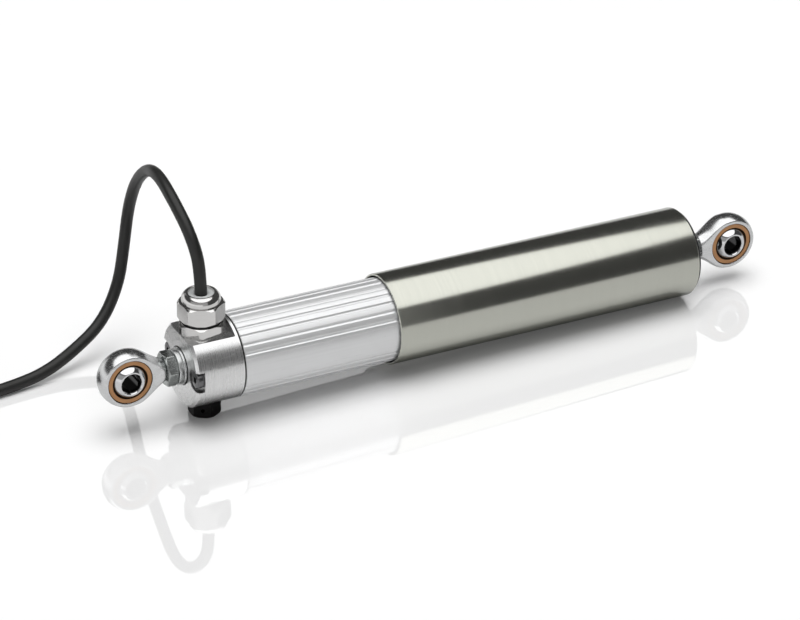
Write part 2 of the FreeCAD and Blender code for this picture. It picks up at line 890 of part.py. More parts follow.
def vent_plug():
    """The vent plug below the cap, with its seal and the membrane inside."""
    flat = -cap_flat_height
    seat = flat - size.vent_seal_thickness
    bottom = seat - size.vent_hex_height
    stub_top = flat + size.vent_thread_length
    membrane_seat = stub_top - size.membrane_depth - size.membrane_thickness
    head = bevelled_hexagon("vent_head", size.vent_across, size.vent_corner_radius,
                            size.vent_hex_height, size.vent_hex_bevel, SIZES["vent_turn"],
                            size.vent_bore_radius, vent_axis, bottom)
    stub = turned("vent_stub", "Z", [
        (bottom + size.vent_hex_bevel, 0),
        (bottom + size.vent_hex_bevel, size.vent_thread_radius - size.seat_gap),
        (stub_top, size.vent_thread_radius - size.seat_gap),
        (stub_top, size.membrane_radius + size.seat_gap),
        (membrane_seat, size.membrane_radius + size.seat_gap),
        (membrane_seat, size.vent_bore_radius),
        (bottom + size.vent_floor, size.vent_bore_radius),
        (bottom + size.vent_floor, 0),
    ])
    body = fuse("vent_blank", [head, place(stub, vent_axis, 0, 0)])
    floor = cylinder("vent_floor_disc", size.vent_bore_radius + 0.5, size.vent_floor,
                     vent_axis, 0, bottom)
    height = bottom + size.vent_hole_height
    across = [
        cylinder(f"vent_hole_{index}", size.vent_hole_radius, size.vent_across * 2,
                 vent_axis - size.vent_across * math.cos(angle),
                 -size.vent_across * math.sin(angle), height,
                 Rotation(Vector(0, 0, 1), math.degrees(angle)) * ALONG_X)
        for index, angle in enumerate((math.radians(SIZES["vent_turn"] + 30),
                                       math.radians(SIZES["vent_turn"] + 120)))
    ]
    keep(cut("vent_plug", fuse("vent_closed", [body, floor]), across), "vent_plug")

    seal = turned("vent_seal", "Z", [
        (seat, size.vent_thread_radius),
        (seat, size.vent_seal_radius),
        (flat, size.vent_seal_radius),
        (flat, size.vent_thread_radius),
    ])
    keep(place(seal, vent_axis, 0, 0), "vent_seal")
    keep(cylinder("vent_membrane", size.membrane_radius, size.membrane_thickness,
                  vent_axis, 0, membrane_seat), "vent_membrane")


# The fluted tube with the potentiometer inside

def fluted_blank():
    """The plain tube with flutes all round, but for a smooth window at each side."""
    body = turned("tube_fluted", "X", [
        (tube_back, cavity_radius),
        (tube_back, size.body_radius),
        (tube_front, size.body_radius),
        (tube_front, cavity_radius),
    ])
    middle = size.body_radius + size.flute_radius - size.flute_depth
    axis = origin_plane(body, "X_Axis")
    spans = {
        "top": (SIZES["window_top"], 180 - SIZES["window_top"]),
        "bottom": (180 + SIZES["window_bottom"], 360 - SIZES["window_bottom"]),
    }
    for side, (first, last) in spans.items():
        document.recompute()
        count = int((last - first) / SIZES["flute_pitch"]) + 1
        turn = SIZES["flute_pitch"] * (count - 1)
        angle = math.radians(last - turn if side == "top" else first)
        y, z = middle * math.cos(angle), middle * math.sin(angle)
        sketch = new_sketch(body, "YZ_Plane")
        circle = Part.Circle(Vector(y.value, z.value, 0), Vector(0, 0, 1), SIZES["flute_radius"])
        edge = sketch.addGeometry(circle, False)
        hold_point(sketch, edge, 3, "DistanceX", -2, y)
        hold_point(sketch, edge, 3, "DistanceY", -1, z)
        hold = Sketcher.Constraint("Radius", edge, SIZES["flute_radius"])
        constraint = sketch.addConstraint(hold)
        sketch.setExpression(f"Constraints[{constraint}]", size.flute_radius.text)
        flute = body.newObject("PartDesign::Pocket", f"flute_{side}")
        flute.Profile = sketch
        flute.Reversed = True
        bind(flute, "Length", tube_front + 1)
        pattern = body.newObject("PartDesign::PolarPattern", f"flutes_{side}")
        pattern.Originals = [flute]
        pattern.Axis = (axis, [""])
        pattern.Angle = turn
        pattern.Occurrences = count
        body.Tip = pattern
    return body


def profile_tube():
    """The tube with two screw ports along its length and two grooves that hold the board."""
    tube = fluted_blank()
    inside = cylinder("tube_inside", size.body_radius - size.tube_wall / 2, tube_length,
                      tube_back, 0, 0, ALONG_X)
    ports = screw_holes("tube_boss", size.port_boss_radius, tube_back, tube_length)
    bosses = common("tube_bosses", [inside, group("tube_boss_pair", ports)])
    slot = box("tube_board_grooves", tube_length,
               2 * (board_half_width + size.board_clearance),
               size.board_thickness + size.board_clearance,
               tube_back, -board_half_width - size.board_clearance, size.board_height)
    threads = screw_holes("tube_thread", size.screw_radius, tube_back, tube_length)
    keep(cut("profile_tube", fuse("tube_with_bosses", [tube, bosses]), [slot, *threads]),
         "profile_tube")


def potentiometer():
    """The track board in its grooves, its terminal pins and the leads from the cable."""
    start = tube_back + size.board_back_margin
    length = flange_boss_back - size.board_front_margin - start
    keep(box("resistance_board", length, 2 * board_half_width, size.board_thickness,
             start, -board_half_width, size.board_height), "resistance_board")
    pin_height = size.board_height - size.pin_radius
    pin_start = start - size.pin_reach
    pins = [
        cylinder(f"terminal_pin_{index}", size.pin_radius, size.pin_reach + size.pin_overlap,
                 pin_start, size.pin_pitch * index, pin_height, ALONG_X)
        for index in (-1, 0, 1)
    ]
    keep(group("terminal_pins", pins), "terminal_pins")
    leads = []
    for index in (-1, 0, 1):
        beside = SIZES["lead_pitch"] * index
        crossing = crossing_height.value
        chamber = (cap_joint - size.chamber_depth).value
        points = [
            Vector(gland_axis.value, beside, SIZES["cable_end_height"]),
            Vector(gland_axis.value, beside, crossing),
            Vector(chamber, beside, crossing),
            Vector((pin_start - size.solder_gap).value, SIZES["pin_pitch"] * index,
                   pin_height.value),
        ]
        leads.append(tube_along(points, SIZES["lead_radius"]))
    keep(solid("signal_leads", Part.makeCompound(leads)), "signal_leads")


# The flange at the open end, with the bush and the wiper ring for the rod

def front_flange():
    """The flange, its boss inside the tube and the seats for the bush and the wiper ring."""
    boss_back = flange_boss_back
    bush_front = boss_back + size.bush_length
    blank = turned("front_flange_blank", "X", [
        (boss_back, size.bush_radius + size.seat_gap),
        (boss_back, size.flange_boss_radius),
        (flange_back, size.flange_boss_radius),
        (flange_back, size.body_radius),
        (flange_face - size.flange_bevel, size.body_radius),
        (flange_face, size.body_radius - size.flange_bevel),
        (flange_face, size.wiper_radius + size.seat_gap),
        (bush_front, size.wiper_radius + size.seat_gap),
        (bush_front, size.bush_radius + size.seat_gap),
    ])
    pockets = screw_pockets("front_flange_pocket", flange_face - size.screw_pocket_depth,
                            flange_face, size.body_radius)
    holes = screw_holes("front_flange_hole", hole_radius, flange_back, size.flange_length)
    keep(cut("front_flange", blank, [*pockets, *holes]), "front_flange")

    bush_bore = size.rod_radius + size.bush_running_gap
    keep(turned("rod_bush", "X", [
        (boss_back, bush_bore),
        (boss_back, size.bush_radius),
        (bush_front, size.bush_radius),
        (bush_front, bush_bore),
    ]), "rod_bush")

    wiper_bore = size.rod_radius + size.wiper_running_gap
    wiper_front = flange_face - 0.2
    keep(turned("rod_wiper", "X", [
        (bush_front, wiper_bore + size.wiper_lip),
        (bush_front, size.wiper_radius),
        (wiper_front, size.wiper_radius),
        (wiper_front, wiper_bore),
        (wiper_front - size.wiper_lip, wiper_bore),
    ]), "rod_wiper")


# What moves: the carriage, the rod, the hub and the sleeve

def wiper_carriage():
    """The carriage that slides in the tube and is hooked on the head of the rod."""
    radius = cavity_radius - size.carriage_clearance
    back = carriage_back
    front = carriage_back + size.carriage_length
    blank = turned("carriage_blank", "X", [
        (back, 0),
        (back, radius),
        (front, radius),
        (front, 0),
    ])
    top = box("carriage_top_cut", size.carriage_length, 2 * radius, radius,
              back, -radius, size.carriage_top)
    sides = screw_holes("carriage_side_cut", size.port_boss_radius + size.boss_clearance,
                        back, size.carriage_length)
    outer = [
        box(f"carriage_{side}_slot", size.carriage_length, size.body_radius,
            2 * (size.port_boss_radius + size.boss_clearance), back,
            screw_offset if side == "far" else -screw_offset - size.body_radius,
            -size.port_boss_radius - size.boss_clearance)
        for side in ("near", "far")
    ]
    play = size.coupling_play
    head_start = back + size.coupling_wall
    neck_start = head_start + size.coupling_head_length + 2 * play
    rod_start = neck_start + size.coupling_neck_length - 2 * play
    steps = {
        "head": (head_start, neck_start, size.coupling_head_radius + 2 * play),
        "neck": (neck_start, rod_start, size.coupling_neck_radius + play),
        "rod": (rod_start, front, size.rod_radius + 3 * play),
    }
    slots = []
    for name, (start, end, half_width) in steps.items():
        slots.append(cylinder(f"carriage_{name}_round", half_width, end - start,
                              start, 0, 0, ALONG_X))
        slots.append(box(f"carriage_{name}_open", end - start, 2 * half_width,
                         size.body_radius, start, -half_width, -size.body_radius))
    keep(cut("wiper_carriage", blank, [top, *sides, *outer, *slots]), "wiper_carriage")


def wiper_brush():
    """The spring brush: a base on the carriage and two leaves that lean to the tracks."""
    start = carriage_back + size.brush_start
    low = size.carriage_top
    high = low + size.brush_base_thickness
    end = start + size.brush_base_length
    tip = end + size.brush_reach
    touch = size.board_height - size.brush_gap
    base = box("brush_base", size.brush_base_length,
               2 * size.brush_spread, size.brush_base_thickness, start, -size.brush_spread, low)
    leaves = []
    for side, sign in (("near", -1), ("far", 1)):
        leaf = padded(f"brush_leaf_{side}", "XZ_Plane", [
            (end - 0.5, low),
            (end, low),
            (tip - 1, touch - size.brush_leaf),
            (tip, touch - size.brush_leaf),
            (tip, touch),
            (tip - 1, touch),
            (end, high),
            (end - 0.5, high),
        ], size.brush_leaf_width)
        leaves.append(place(leaf, 0, (size.brush_spread - size.brush_leaf_width / 2) * sign, 0))
    keep(fuse("wiper_brush", [base, *leaves]), "wiper_brush")


def push_rod():
    """The rod with its coupling head at one end and its spigot through the hub at the other."""
    neck_start = coupling_face + size.coupling_head_length
    rod_start = neck_start + size.coupling_neck_length
    hole_end = hub_face - thread_depth
    keep(turned("push_rod", "X", [
        (coupling_face, 0),
        (coupling_face, size.coupling_head_radius),
        (neck_start, size.coupling_head_radius),
        (neck_start, size.coupling_neck_radius),
        (rod_start, size.coupling_neck_radius),
        (rod_start, size.rod_radius),
        (hub_back, size.rod_radius),
        (hub_back, size.rod_spigot_radius),
        (hub_face, size.rod_spigot_radius),
        (hub_face, size.thread_radius),
        (hole_end, size.thread_radius),
        (hole_end, 0),
    ]), "push_rod")


def sleeve_and_hub():
    """The protective sleeve over the tube and the hub that carries it on the rod."""
    rim = sleeve_end
    hub_radius = sleeve_inner_radius - size.seat_gap
    bore = size.rod_spigot_radius + size.seat_gap
    keep(turned("sleeve_hub", "X", [
        (hub_back, bore),
        (hub_back, hub_radius),
        (rim, hub_radius),
        (hub_face, size.hub_face_radius),
        (hub_face, bore),
    ]), "sleeve_hub")
    outer = sleeve_inner_radius + size.sleeve_wall
    bevel = size.sleeve_edge_bevel
    keep(turned("protective_sleeve", "X", [
        (sleeve_edge, sleeve_inner_radius),
        (sleeve_edge, outer - bevel),
        (sleeve_edge + bevel, outer),
        (rim - bevel, outer),
        (rim, outer - bevel),
        (rim, sleeve_inner_radius),
    ]), "protective_sleeve")


# The cable, its coil with the tie, and the bare leads at its end

def cable():
    """The cable along its route and the coil of what is left of it."""
    route = [Vector(*point) for point in CABLE_ROUTE]
    keep(solid("cable_run", tube_along(route, SIZES["cable_radius"], "cable")), "cable_run")

    diameter = 2 * size.cable_radius
    half_width = size.coil_columns * size.cable_radius
    low = size.tie_thickness
    top = low + size.coil_layers * diameter
    inner = size.coil_middle_radius - half_width
    outer = size.coil_middle_radius + half_width
    x, y = COIL_MIDDLE
    z = surface_height(x)
    tilt = Rotation(Vector(0, 1, 0), -surface_angle)
    section = [(low, inner), (low, outer), (top, outer), (top, inner)]
    keep(place(turned("cable_coil", "Z", section), x, y, z, tilt), "cable_coil")

    thickness = size.tie_thickness
    band_outer = box("coil_tie_outer", 2 * (half_width + thickness), size.tie_width,
                     top - low + 2 * thickness, -size.coil_middle_radius - half_width - thickness,
                     -size.tie_width / 2, low - thickness)
    band = cut("coil_tie_band", band_outer, [turned("coil_tie_inner", "Z", section)])
    keep(place(band, x, y, z, tilt * Rotation(Vector(0, 0, 1), -40)), "coil_tie")

    radius = SIZES["free_lead_radius"]
    height = top.value + radius
    last = SIZES["free_lead_start"]
    leads = []
    for index in (-1, 0, 1):
        bend = SIZES["coil_middle_radius"] + SIZES["free_lead_pitch"] * index
        arc = Part.makeCircle(bend, Vector(0, 0, height), Vector(0, 0, 1),
                              last - SIZES["free_lead_turn"], last)
        start = arc.Vertexes[0].Point
        way = Vector(start.y, -start.x, 0).normalize()
        section = Part.Wire([Part.Circle(start, way, radius).toShape()])
        lead = Part.Wire([arc]).makePipeShell([section], True, False)
        ferrule = Part.makeCylinder(SIZES["ferrule_radius"], SIZES["ferrule_length"], start, way)
        leads.append(lead.fuse(ferrule))
    bundle = solid("cable_leads", Part.makeCompound(leads))
    keep(place(bundle, x, y, z, tilt), "cable_leads")


def check_document():
    """Stop where any feature failed or any piece has no valid solid."""
    for feature in document.Objects:
        if any(word in feature.State for word in ("Invalid", "Error")):
            raise ValueError(f"{feature.Name} failed: {feature.State}")
    for feature in pieces:
        shape = feature.Shape
        if shape.isNull() or not shape.isValid() or not shape.Solids:
            raise ValueError(f"{feature.Label} has no valid solid")


def main():
    bearing_set("fixed")
    end_cap()
    screw_pair("cap_screws", cap_face + size.screw_pocket_depth, 1)
    gasket("cap_gasket", cap_joint, screw_offset - hole_radius - size.gasket_web)
    cable_gland()
    vent_plug()
    profile_tube()
    potentiometer()
    gasket("front_gasket", tube_front, size.flange_boss_radius + size.gasket_play)
    front_flange()
    screw_pair("front_screws", flange_face - size.screw_pocket_depth, -1)
    wiper_carriage()
    wiper_brush()
    push_rod()
    sleeve_and_hub()
    bearing_set("moving")
    cable()
    document.recompute()
    check_document()
    os.makedirs("parts", exist_ok=True)
    for feature in pieces:
        feature.Shape.exportStep(os.path.join("parts", f"{feature.Label}.step"))
    print(len(pieces), "pieces written")


main()
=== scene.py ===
import math

import bmesh
import bpy
from bpy.props import FloatProperty, FloatVectorProperty, IntProperty, PointerProperty
from mathutils import Euler, Matrix, Vector


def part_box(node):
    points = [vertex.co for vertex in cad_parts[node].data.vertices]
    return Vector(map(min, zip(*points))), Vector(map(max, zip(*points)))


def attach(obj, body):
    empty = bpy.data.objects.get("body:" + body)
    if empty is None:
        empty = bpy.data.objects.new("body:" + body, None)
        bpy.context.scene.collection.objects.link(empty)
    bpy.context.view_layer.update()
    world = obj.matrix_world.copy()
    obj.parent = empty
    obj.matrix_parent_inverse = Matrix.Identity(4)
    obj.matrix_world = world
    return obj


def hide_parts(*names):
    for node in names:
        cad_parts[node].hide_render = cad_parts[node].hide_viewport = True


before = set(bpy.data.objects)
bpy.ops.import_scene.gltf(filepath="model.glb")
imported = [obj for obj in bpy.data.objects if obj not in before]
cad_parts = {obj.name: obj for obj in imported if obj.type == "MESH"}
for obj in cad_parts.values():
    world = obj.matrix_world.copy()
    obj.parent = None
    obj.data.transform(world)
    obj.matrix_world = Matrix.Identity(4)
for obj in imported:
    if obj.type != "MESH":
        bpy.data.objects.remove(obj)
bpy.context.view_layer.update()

bl_info = {
    "name": "Linear transducer",
    "version": (1, 0, 0),
    "blender": (4, 5, 0),
    "location": "View3D > Sidebar > Transducer",
    "description": "Dresses a linear displacement transducer with its finishes and fine shapes",
    "category": "Object",
}

MM = 0.001


def span(node, axis):
    """Where a node starts and ends along an axis, in metres."""
    low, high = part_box(node)
    index = "XYZ".index(axis)
    return low[index], high[index]


def span_mm(node, axis):
    """Where a node starts and ends along an axis, in millimetres."""
    return tuple(value / MM for value in span(node, axis))


def middle_of(node):
    """The X of a node's middle, in metres."""
    low, high = span(node, "X")
    return (low + high) / 2


def length(name, description, default):
    """A length that a user may change, in metres."""
    return FloatProperty(name=name, description=description, default=default, min=0.0,
                         precision=5, unit="LENGTH", subtype="DISTANCE")


def angle(name, description, degrees):
    """An angle that a user may change."""
    return FloatProperty(name=name, description=description, default=math.radians(degrees),
                         unit="ROTATION", subtype="ANGLE")


def colour(name, description, default):
    """A colour that a user may change."""
    return FloatVectorProperty(name=name, description=description, default=default, size=3,
                               min=0.0, max=1.0, subtype="COLOR")


def share(name, description, default):
    """A share from 0 to 1 that a user may change."""
    return FloatProperty(name=name, description=description, default=default, min=0.0,
                         max=1.0, subtype="FACTOR")


# Sizes and finishes that a user would change

class TransducerSizes(bpy.types.PropertyGroup):
    """Lengths and angles of the fine shapes."""

    edge: length("Edge rounding", "Radius of a broken machined edge", 0.15 * MM)
    soft_edge: length("Forged edge rounding", "Radius along the faces of a rod end", 0.7 * MM)
    neck_blend: length("Neck blend", "How far the eye runs out into its neck", 3.2 * MM)
    forging_grid: length("Forging grid", "Spacing of the grid that the forging is made on",
                         0.24 * MM)
    ball_radius: length("Ball radius", "Radius of the spherical bearing", 7.9375 * MM)
    ball_play: length("Ball play", "Gap between a ball and its race", 0.03 * MM)
    eye_bore: length("Eye bore", "Radius of the bore in each ball", 4.0 * MM)
    nut_across: length("Nut across flats", "Width of the jam nut", 13.0 * MM)
    nut_turn: angle("Nut turn", "Angle of a corner of the jam nut about the axis", -66.0)
    gland_across: length("Gland across flats", "Width of the hexagons of the gland", 17.5 * MM)
    gland_corner: length("Gland corner radius", "How far the hexagons' corners reach", 9.6 * MM)
    gland_turn: angle("Gland turn", "Angle of a corner of the gland about its axis", 6.5)
    cable_diameter: length("Cable diameter", "Outer diameter of the sheath", 5.0 * MM)
    turn_radius: length("Coil radius", "Radius of the outer turns of the coil", 31.0 * MM)
    flute_radius: length("Flute radius", "Radius of the groove between two ribs", 1.0 * MM)
    flute_depth: length("Flute depth", "Depth of each flute of the tube", 0.35 * MM)
    flute_lip: length("Flute lip", "Rounding along the lips of a flute", 0.22 * MM)
    flute_pitch: angle("Flute pitch", "Angle from one flute to the next", 12.0)
    flute_first: angle("First flute", "Angle of the first flute above the window", 26.5)
    flute_low: angle("Lower flute", "Angle of the first flute below the window", 24.0)
    window_border: angle("Window border", "Angle of the line scribed above the window", 19.5)
    tube_steps: IntProperty(name="Tube steps", description="Faces round the fluted tube",
                            default=1800, min=360)


class TransducerFinishes(bpy.types.PropertyGroup):
    """Colours and gloss of the visible surfaces."""

    tube: colour("Tube", "Anodised aluminium of the fluted tube", (0.86, 0.865, 0.87))
    cap: colour("Cap", "Turned aluminium of the end cap", (0.86, 0.86, 0.86))
    sleeve: colour("Sleeve", "Stainless steel of the sleeve", (0.59, 0.595, 0.535))
    forging: colour("Rod end", "Zinc-plated steel of the rod ends", (0.80, 0.805, 0.81))
    zinc: colour("Nut", "Passivated zinc of the nut at the cap", (0.58, 0.605, 0.595))
    ball: colour("Ball", "Polished bearing steel", (0.78, 0.78, 0.79))
    nickel: colour("Gland", "Nickel-plated brass of the gland", (0.80, 0.79, 0.78))
    bronze: colour("Race", "Bronze of the races", (0.56, 0.30, 0.15))
    insert: colour("Gland insert", "Grey elastomer of the gland insert", (0.62, 0.63, 0.63))
    cable: colour("Cable", "Black sheath of the cable", (0.016, 0.016, 0.015))
    plug: colour("Vent plug", "Black plastic of the vent plug", (0.003, 0.003, 0.003))
    rubber: colour("Rubber", "Black rubber of rings and gaskets", (0.010, 0.010, 0.010))
    floor: colour("Floor", "Pale floor of the studio", (0.80, 0.80, 0.80))
    satin: share("Satin roughness", "Roughness of the machined metal", 0.27)
    polish: share("Polish roughness", "Roughness of the polished metal", 0.07)


# Helpers that build node trees

class Signal:
    """A value that runs through a node tree. Arithmetic with it adds nodes to the tree."""

    def __init__(self, graph, socket):
        self.graph = graph
        self.socket = socket

    def __add__(self, other):
        return self.graph.math("ADD", self, other)

    def __sub__(self, other):
        return self.graph.math("SUBTRACT", self, other)

    def __rsub__(self, other):
        return self.graph.math("SUBTRACT", other, self)

    def __mul__(self, other):
        return self.graph.math("MULTIPLY", self, other)

    def __truediv__(self, other):
        return self.graph.math("DIVIDE", self, other)

    def __neg__(self):
        return self * -1.0

    def __abs__(self):
        return self.graph.math("ABSOLUTE", self)


class Graph:
    """Adds nodes to a tree and joins them."""

    def __init__(self, tree):
        self.tree = tree

    def feed(self, socket, value):
        """Links a signal to a socket, or sets the socket to a plain value."""
        if isinstance(value, Signal):
            self.tree.links.new(value.socket, socket)
        else:
            socket.default_value = value

    def add(self, kind, inputs=None, **settings):
        """Adds a node with its settings and its inputs."""
        node = self.tree.nodes.new(kind)
        for name, value in settings.items():
            setattr(node, name, value)
        for key, value in (inputs or {}).items():
            self.feed(node.inputs[key], value)
        return node

    def value(self, kind, inputs=None, output=0, **settings):
        """Adds a node and gives one of its outputs."""
        return Signal(self, self.add(kind, inputs, **settings).outputs[output])

    def values(self, kind, inputs=None, **settings):
        """Adds a node and gives all its outputs by name."""
        node = self.add(kind, inputs, **settings)
        return {socket.name: Signal(self, socket) for socket in node.outputs}

    def math(self, operation, *values):
        """One step of arithmetic."""
        return self.value("ShaderNodeMath", dict(enumerate(values)), operation=operation)

    def least(self, first, second):
        """The smaller of two values."""
        return self.math("MINIMUM", first, second)

    def most(self, first, second):
        """The larger of two values."""
        return self.math("MAXIMUM", first, second)

    def distance(self, first, second):
        """How far away a point is whose sides these are."""
        return self.math("SQRT", first * first + second * second)

    def split(self, vector):
        """The X, Y and Z of a vector."""
        return tuple(self.values("ShaderNodeSeparateXYZ", {0: vector}).values())

    def vector(self, x=0.0, y=0.0, z=0.0):
        """A vector made of its three parts."""
        return self.value("ShaderNodeCombineXYZ", {0: x, 1: y, 2: z})

    def spread(self, value, low, high, start=0.0, end=1.0, smooth=False):
        """Maps a value from low..high to start..end and stops it there."""
        return self.value("ShaderNodeMapRange", {
            "Value": value, "From Min": low, "From Max": high, "To Min": start, "To Max": end,
        }, interpolation_type="SMOOTHSTEP" if smooth else "LINEAR")

    def noise(self, vector, scale, detail, roughness=0.5, distortion=0.0):
        """Cloudy noise from 0 to 1."""
        return self.value("ShaderNodeTexNoise", {
            "Vector": vector, "Scale": scale, "Detail": detail, "Roughness": roughness,
            "Distortion": distortion,
        })

    def blend(self, factor, first, second):
        """Mixes two colours; sockets 6, 7 and output 2 are the mix node's colours."""
        inputs = {0: factor}
        for socket, tone in ((6, first), (7, second)):
            inputs[socket] = (*tone, 1.0) if isinstance(tone, tuple) else tone
        return self.value("ShaderNodeMix", inputs, output=2, data_type="RGBA")

    def pick(self, index, values):
        """The one of several values that an index counts to."""
        node = self.add("GeometryNodeIndexSwitch", data_type="FLOAT")
        while len(node.index_switch_items) < len(values):
            node.index_switch_items.new()
        for socket, value in zip(node.inputs, (index, *values)):
            self.feed(socket, value)
        return Signal(self, node.outputs[0])

    def join(self, *parts):
        """Joins geometries into one."""
        node = self.add("GeometryNodeJoinGeometry")
        for part in parts:
            self.feed(node.inputs[0], part)
        return Signal(self, node.outputs[0])

    def end(self, last, geometry, material):
        """Ends a geometry tree with real faces that carry their material."""
        real = self.value("GeometryNodeRealizeInstances", {"Geometry": geometry})
        painted = self.value("GeometryNodeSetMaterial", {"Geometry": real,
                                                         "Material": material})
        self.feed(last["Geometry"], painted)


SOCKETS = {"vector": "NodeSocketVector", "value": "NodeSocketFloat", "count": "NodeSocketInt",
           "geometry": "NodeSocketGeometry", "material": "NodeSocketMaterial"}


def new_tree(name, kind, inputs, outputs):
    """A node group: its graph, the signals that it is given, and the sockets it ends in."""
    tree = bpy.data.node_groups.new(name, kind)
    for label, socket, default in inputs:
        item = tree.interface.new_socket(label, in_out="INPUT", socket_type=SOCKETS[socket])
        if default is not None:
            item.default_value = default
    for label, socket in outputs:
        tree.interface.new_socket(label, in_out="OUTPUT", socket_type=SOCKETS[socket])
    graph = Graph(tree)
    return graph, graph.values("NodeGroupInput"), graph.add("NodeGroupOutput").inputs


def geometry_tree(name, inputs):
    """A geometry tree that is given a geometry, a material and sizes."""
    return new_tree(name, "GeometryNodeTree", [
        ("Geometry", "geometry", None), ("Material", "material", None), *inputs,
    ], [("Geometry", "geometry")])


def marks_tree(name, sizes, outputs=("Height", "Tint")):
    """A group of shader nodes that is given a vector and sizes, and puts out values."""
    return new_tree(name, "ShaderNodeTree", [
        ("Vector", "vector", None), *((label, "value", size) for label, size in sizes.items()),
    ], [(output, "value") for output in outputs])


# Marks that several finishes share, as groups of shader nodes

def turning_marks():
    """Fine rings about the X axis, as a lathe leaves on a side and on a face."""
    graph, given, last = marks_tree("turning marks", {"Rings": 6000.0, "Drift": 60.0})
    x, y, z = graph.split(given["Vector"])
    radius = graph.distance(y, z)
    around = (y + z) * given["Drift"]
    for output, scale in (("Height", 1.0), ("Tint", 0.22)):
        rings = given["Rings"] * scale
        place = graph.vector(x * rings, radius * rings, around)
        graph.feed(last[output], graph.noise(place, 1.0, 3.0, 0.55))
    return graph.tree


def drawn_lines():
    """Fine lines along the X axis, as drawing or extruding leaves."""
    graph, given, last = marks_tree("drawn lines", {"Across": 4000.0, "Along": 30.0})
    x, y, z = graph.split(given["Vector"])
    for output, scale in (("Height", 1.0), ("Tint", 0.18)):
        across = given["Across"] * scale
        place = graph.vector(x * given["Along"], y * across, z * across)
        graph.feed(last[output], graph.noise(place, 1.0, 3.0, 0.6))
    return graph.tree


def cast_grain():
    """Even fine grain with a coarser cloud, for plating, rubber and moulded plastic."""
    graph, given, last = marks_tree("cast grain", {"Grain": 4000.0, "Cloud": 250.0})
    graph.feed(last["Height"], graph.noise(given["Vector"], given["Grain"], 4.0, 0.65))
    graph.feed(last["Tint"], graph.noise(given["Vector"], given["Cloud"], 3.0))
    return graph.tree


def handling_wear():
    """Smudges and hairline scratches from handling."""
    graph, given, last = marks_tree("handling wear", {"Smudge": 70.0, "Scratch": 500.0},
                                    ("Smudges", "Scratches"))
    cloud = graph.noise(given["Vector"], given["Smudge"], 5.0, distortion=0.6)
    graph.feed(last["Smudges"], graph.spread(cloud, 0.42, 0.72, smooth=True))
    stretched = graph.value("ShaderNodeMapping", {
        "Vector": given["Vector"], "Rotation": (0.5, 0.35, 0.8), "Scale": (0.05, 1.0, 1.0),
    })
    ridge = abs(graph.noise(stretched, given["Scratch"], 2.0) - 0.5)
    graph.feed(last["Scratches"], graph.spread(ridge, 0.0, 0.006, 1.0, 0.0))
    return graph.tree


def rim_wear():
    """Bright wear near the two ends of a piece along the X axis."""
    graph, given, last = marks_tree("rim wear", {"Start": 0.0, "End": 0.1, "Width": 0.001},
                                    ("Mask",))
    x = graph.split(given["Vector"])[0]
    near = graph.least(x - given["Start"], given["End"] - x)
    worn = 1.0 - near / given["Width"]
    patches = graph.spread(graph.noise(given["Vector"], 900.0, 3.0), 0.3, 0.6)
    graph.feed(last["Mask"], graph.spread(worn, 0.0, 1.0) * patches)
    return graph.tree


# Finishes

GROUPS = {}
FINISHES = {}


def group_node(graph, name, inputs):
    """A shared group placed in a material with its own values."""
    return graph.values("ShaderNodeGroup", inputs, node_tree=GROUPS[name])


def turning(rings, drift):
    """Marks of a lathe: how close the rings lie, and how soon they change round the piece."""
    return "turning marks", {"Rings": rings, "Drift": drift}


def drawing(across, along):
    """Marks of drawing: how fine they are across the piece and along it."""
    return "drawn lines", {"Across": across, "Along": along}


def grain(fine, cloud):
    """Grain of plating, rubber or plastic: how fine the grain and its cloud are."""
    return "cast grain", {"Grain": fine, "Cloud": cloud}


FINE_TURNING = turning(9000.0, 40.0)
PATTERN_TURN = {
    "X": Euler((0, 0, 0)),
    "Y": Euler((0, 0, -math.pi / 2)),
    "Z": Euler((0, math.pi / 2, 0)),
}


def finish(name, base, roughness, marks, metallic=0.0, tint=0.12, dark=0.25, spread=0.06,
           bump=0.1, depth=0.02, axis="X", centre=(0, 0, 0), rims=None, scratches=0.15,
           smudge=0.05, specular=0.5):
    """A finish. Its marks vary the base colour by tint towards dark, the roughness by spread
    and the height by bump at a depth in millimetres; wear adds scratches and smudges, and
    rims=(start, end, width, strength) brightens the ends."""
    material = bpy.data.materials.new(name)
    material.use_nodes = True
    graph = Graph(material.node_tree)
    shader = material.node_tree.nodes["Principled BSDF"]
    where = graph.value("ShaderNodeTexCoord", output="Object")
    turn = PATTERN_TURN[axis]
    place = graph.value("ShaderNodeMapping", {
        "Vector": where, "Location": -(turn.to_matrix() @ Vector(centre)), "Rotation": turn,
    })
    group, values = marks
    pattern = group_node(graph, group, {"Vector": place, **values})
    wear = group_node(graph, "handling wear", {"Vector": where})

    cloud = graph.spread(pattern["Tint"], 0.3, 0.75, 0.0, tint / dark)
    shade = tuple(channel * (1.0 - dark) for channel in base)
    tone = graph.blend(cloud, tuple(base), shade)
    if rims:
        start, end, width, strength = rims
        mask = group_node(graph, "rim wear", {
            "Vector": place, "Start": start, "End": end, "Width": width,
        })["Mask"]
        light = tuple(min(1.0, channel * 1.2 + 0.05) for channel in base)
        tone = graph.blend(mask * strength, tone, light)
    gloss = graph.spread(pattern["Height"], 0.25, 0.75, roughness - spread, roughness + spread)
    gloss = gloss + wear["Smudges"] * smudge + wear["Scratches"] * scratches
    bumped = graph.value("ShaderNodeBump", {
        "Strength": bump, "Distance": depth * MM,
        "Height": pattern["Height"] - wear["Scratches"] * scratches,
    })
    graph.feed(shader.inputs["Base Color"], tone)
    graph.feed(shader.inputs["Roughness"], gloss)
    graph.feed(shader.inputs["Normal"], bumped)
    shader.inputs["Metallic"].default_value = metallic
    shader.inputs["Specular IOR Level"].default_value = specular
    return material


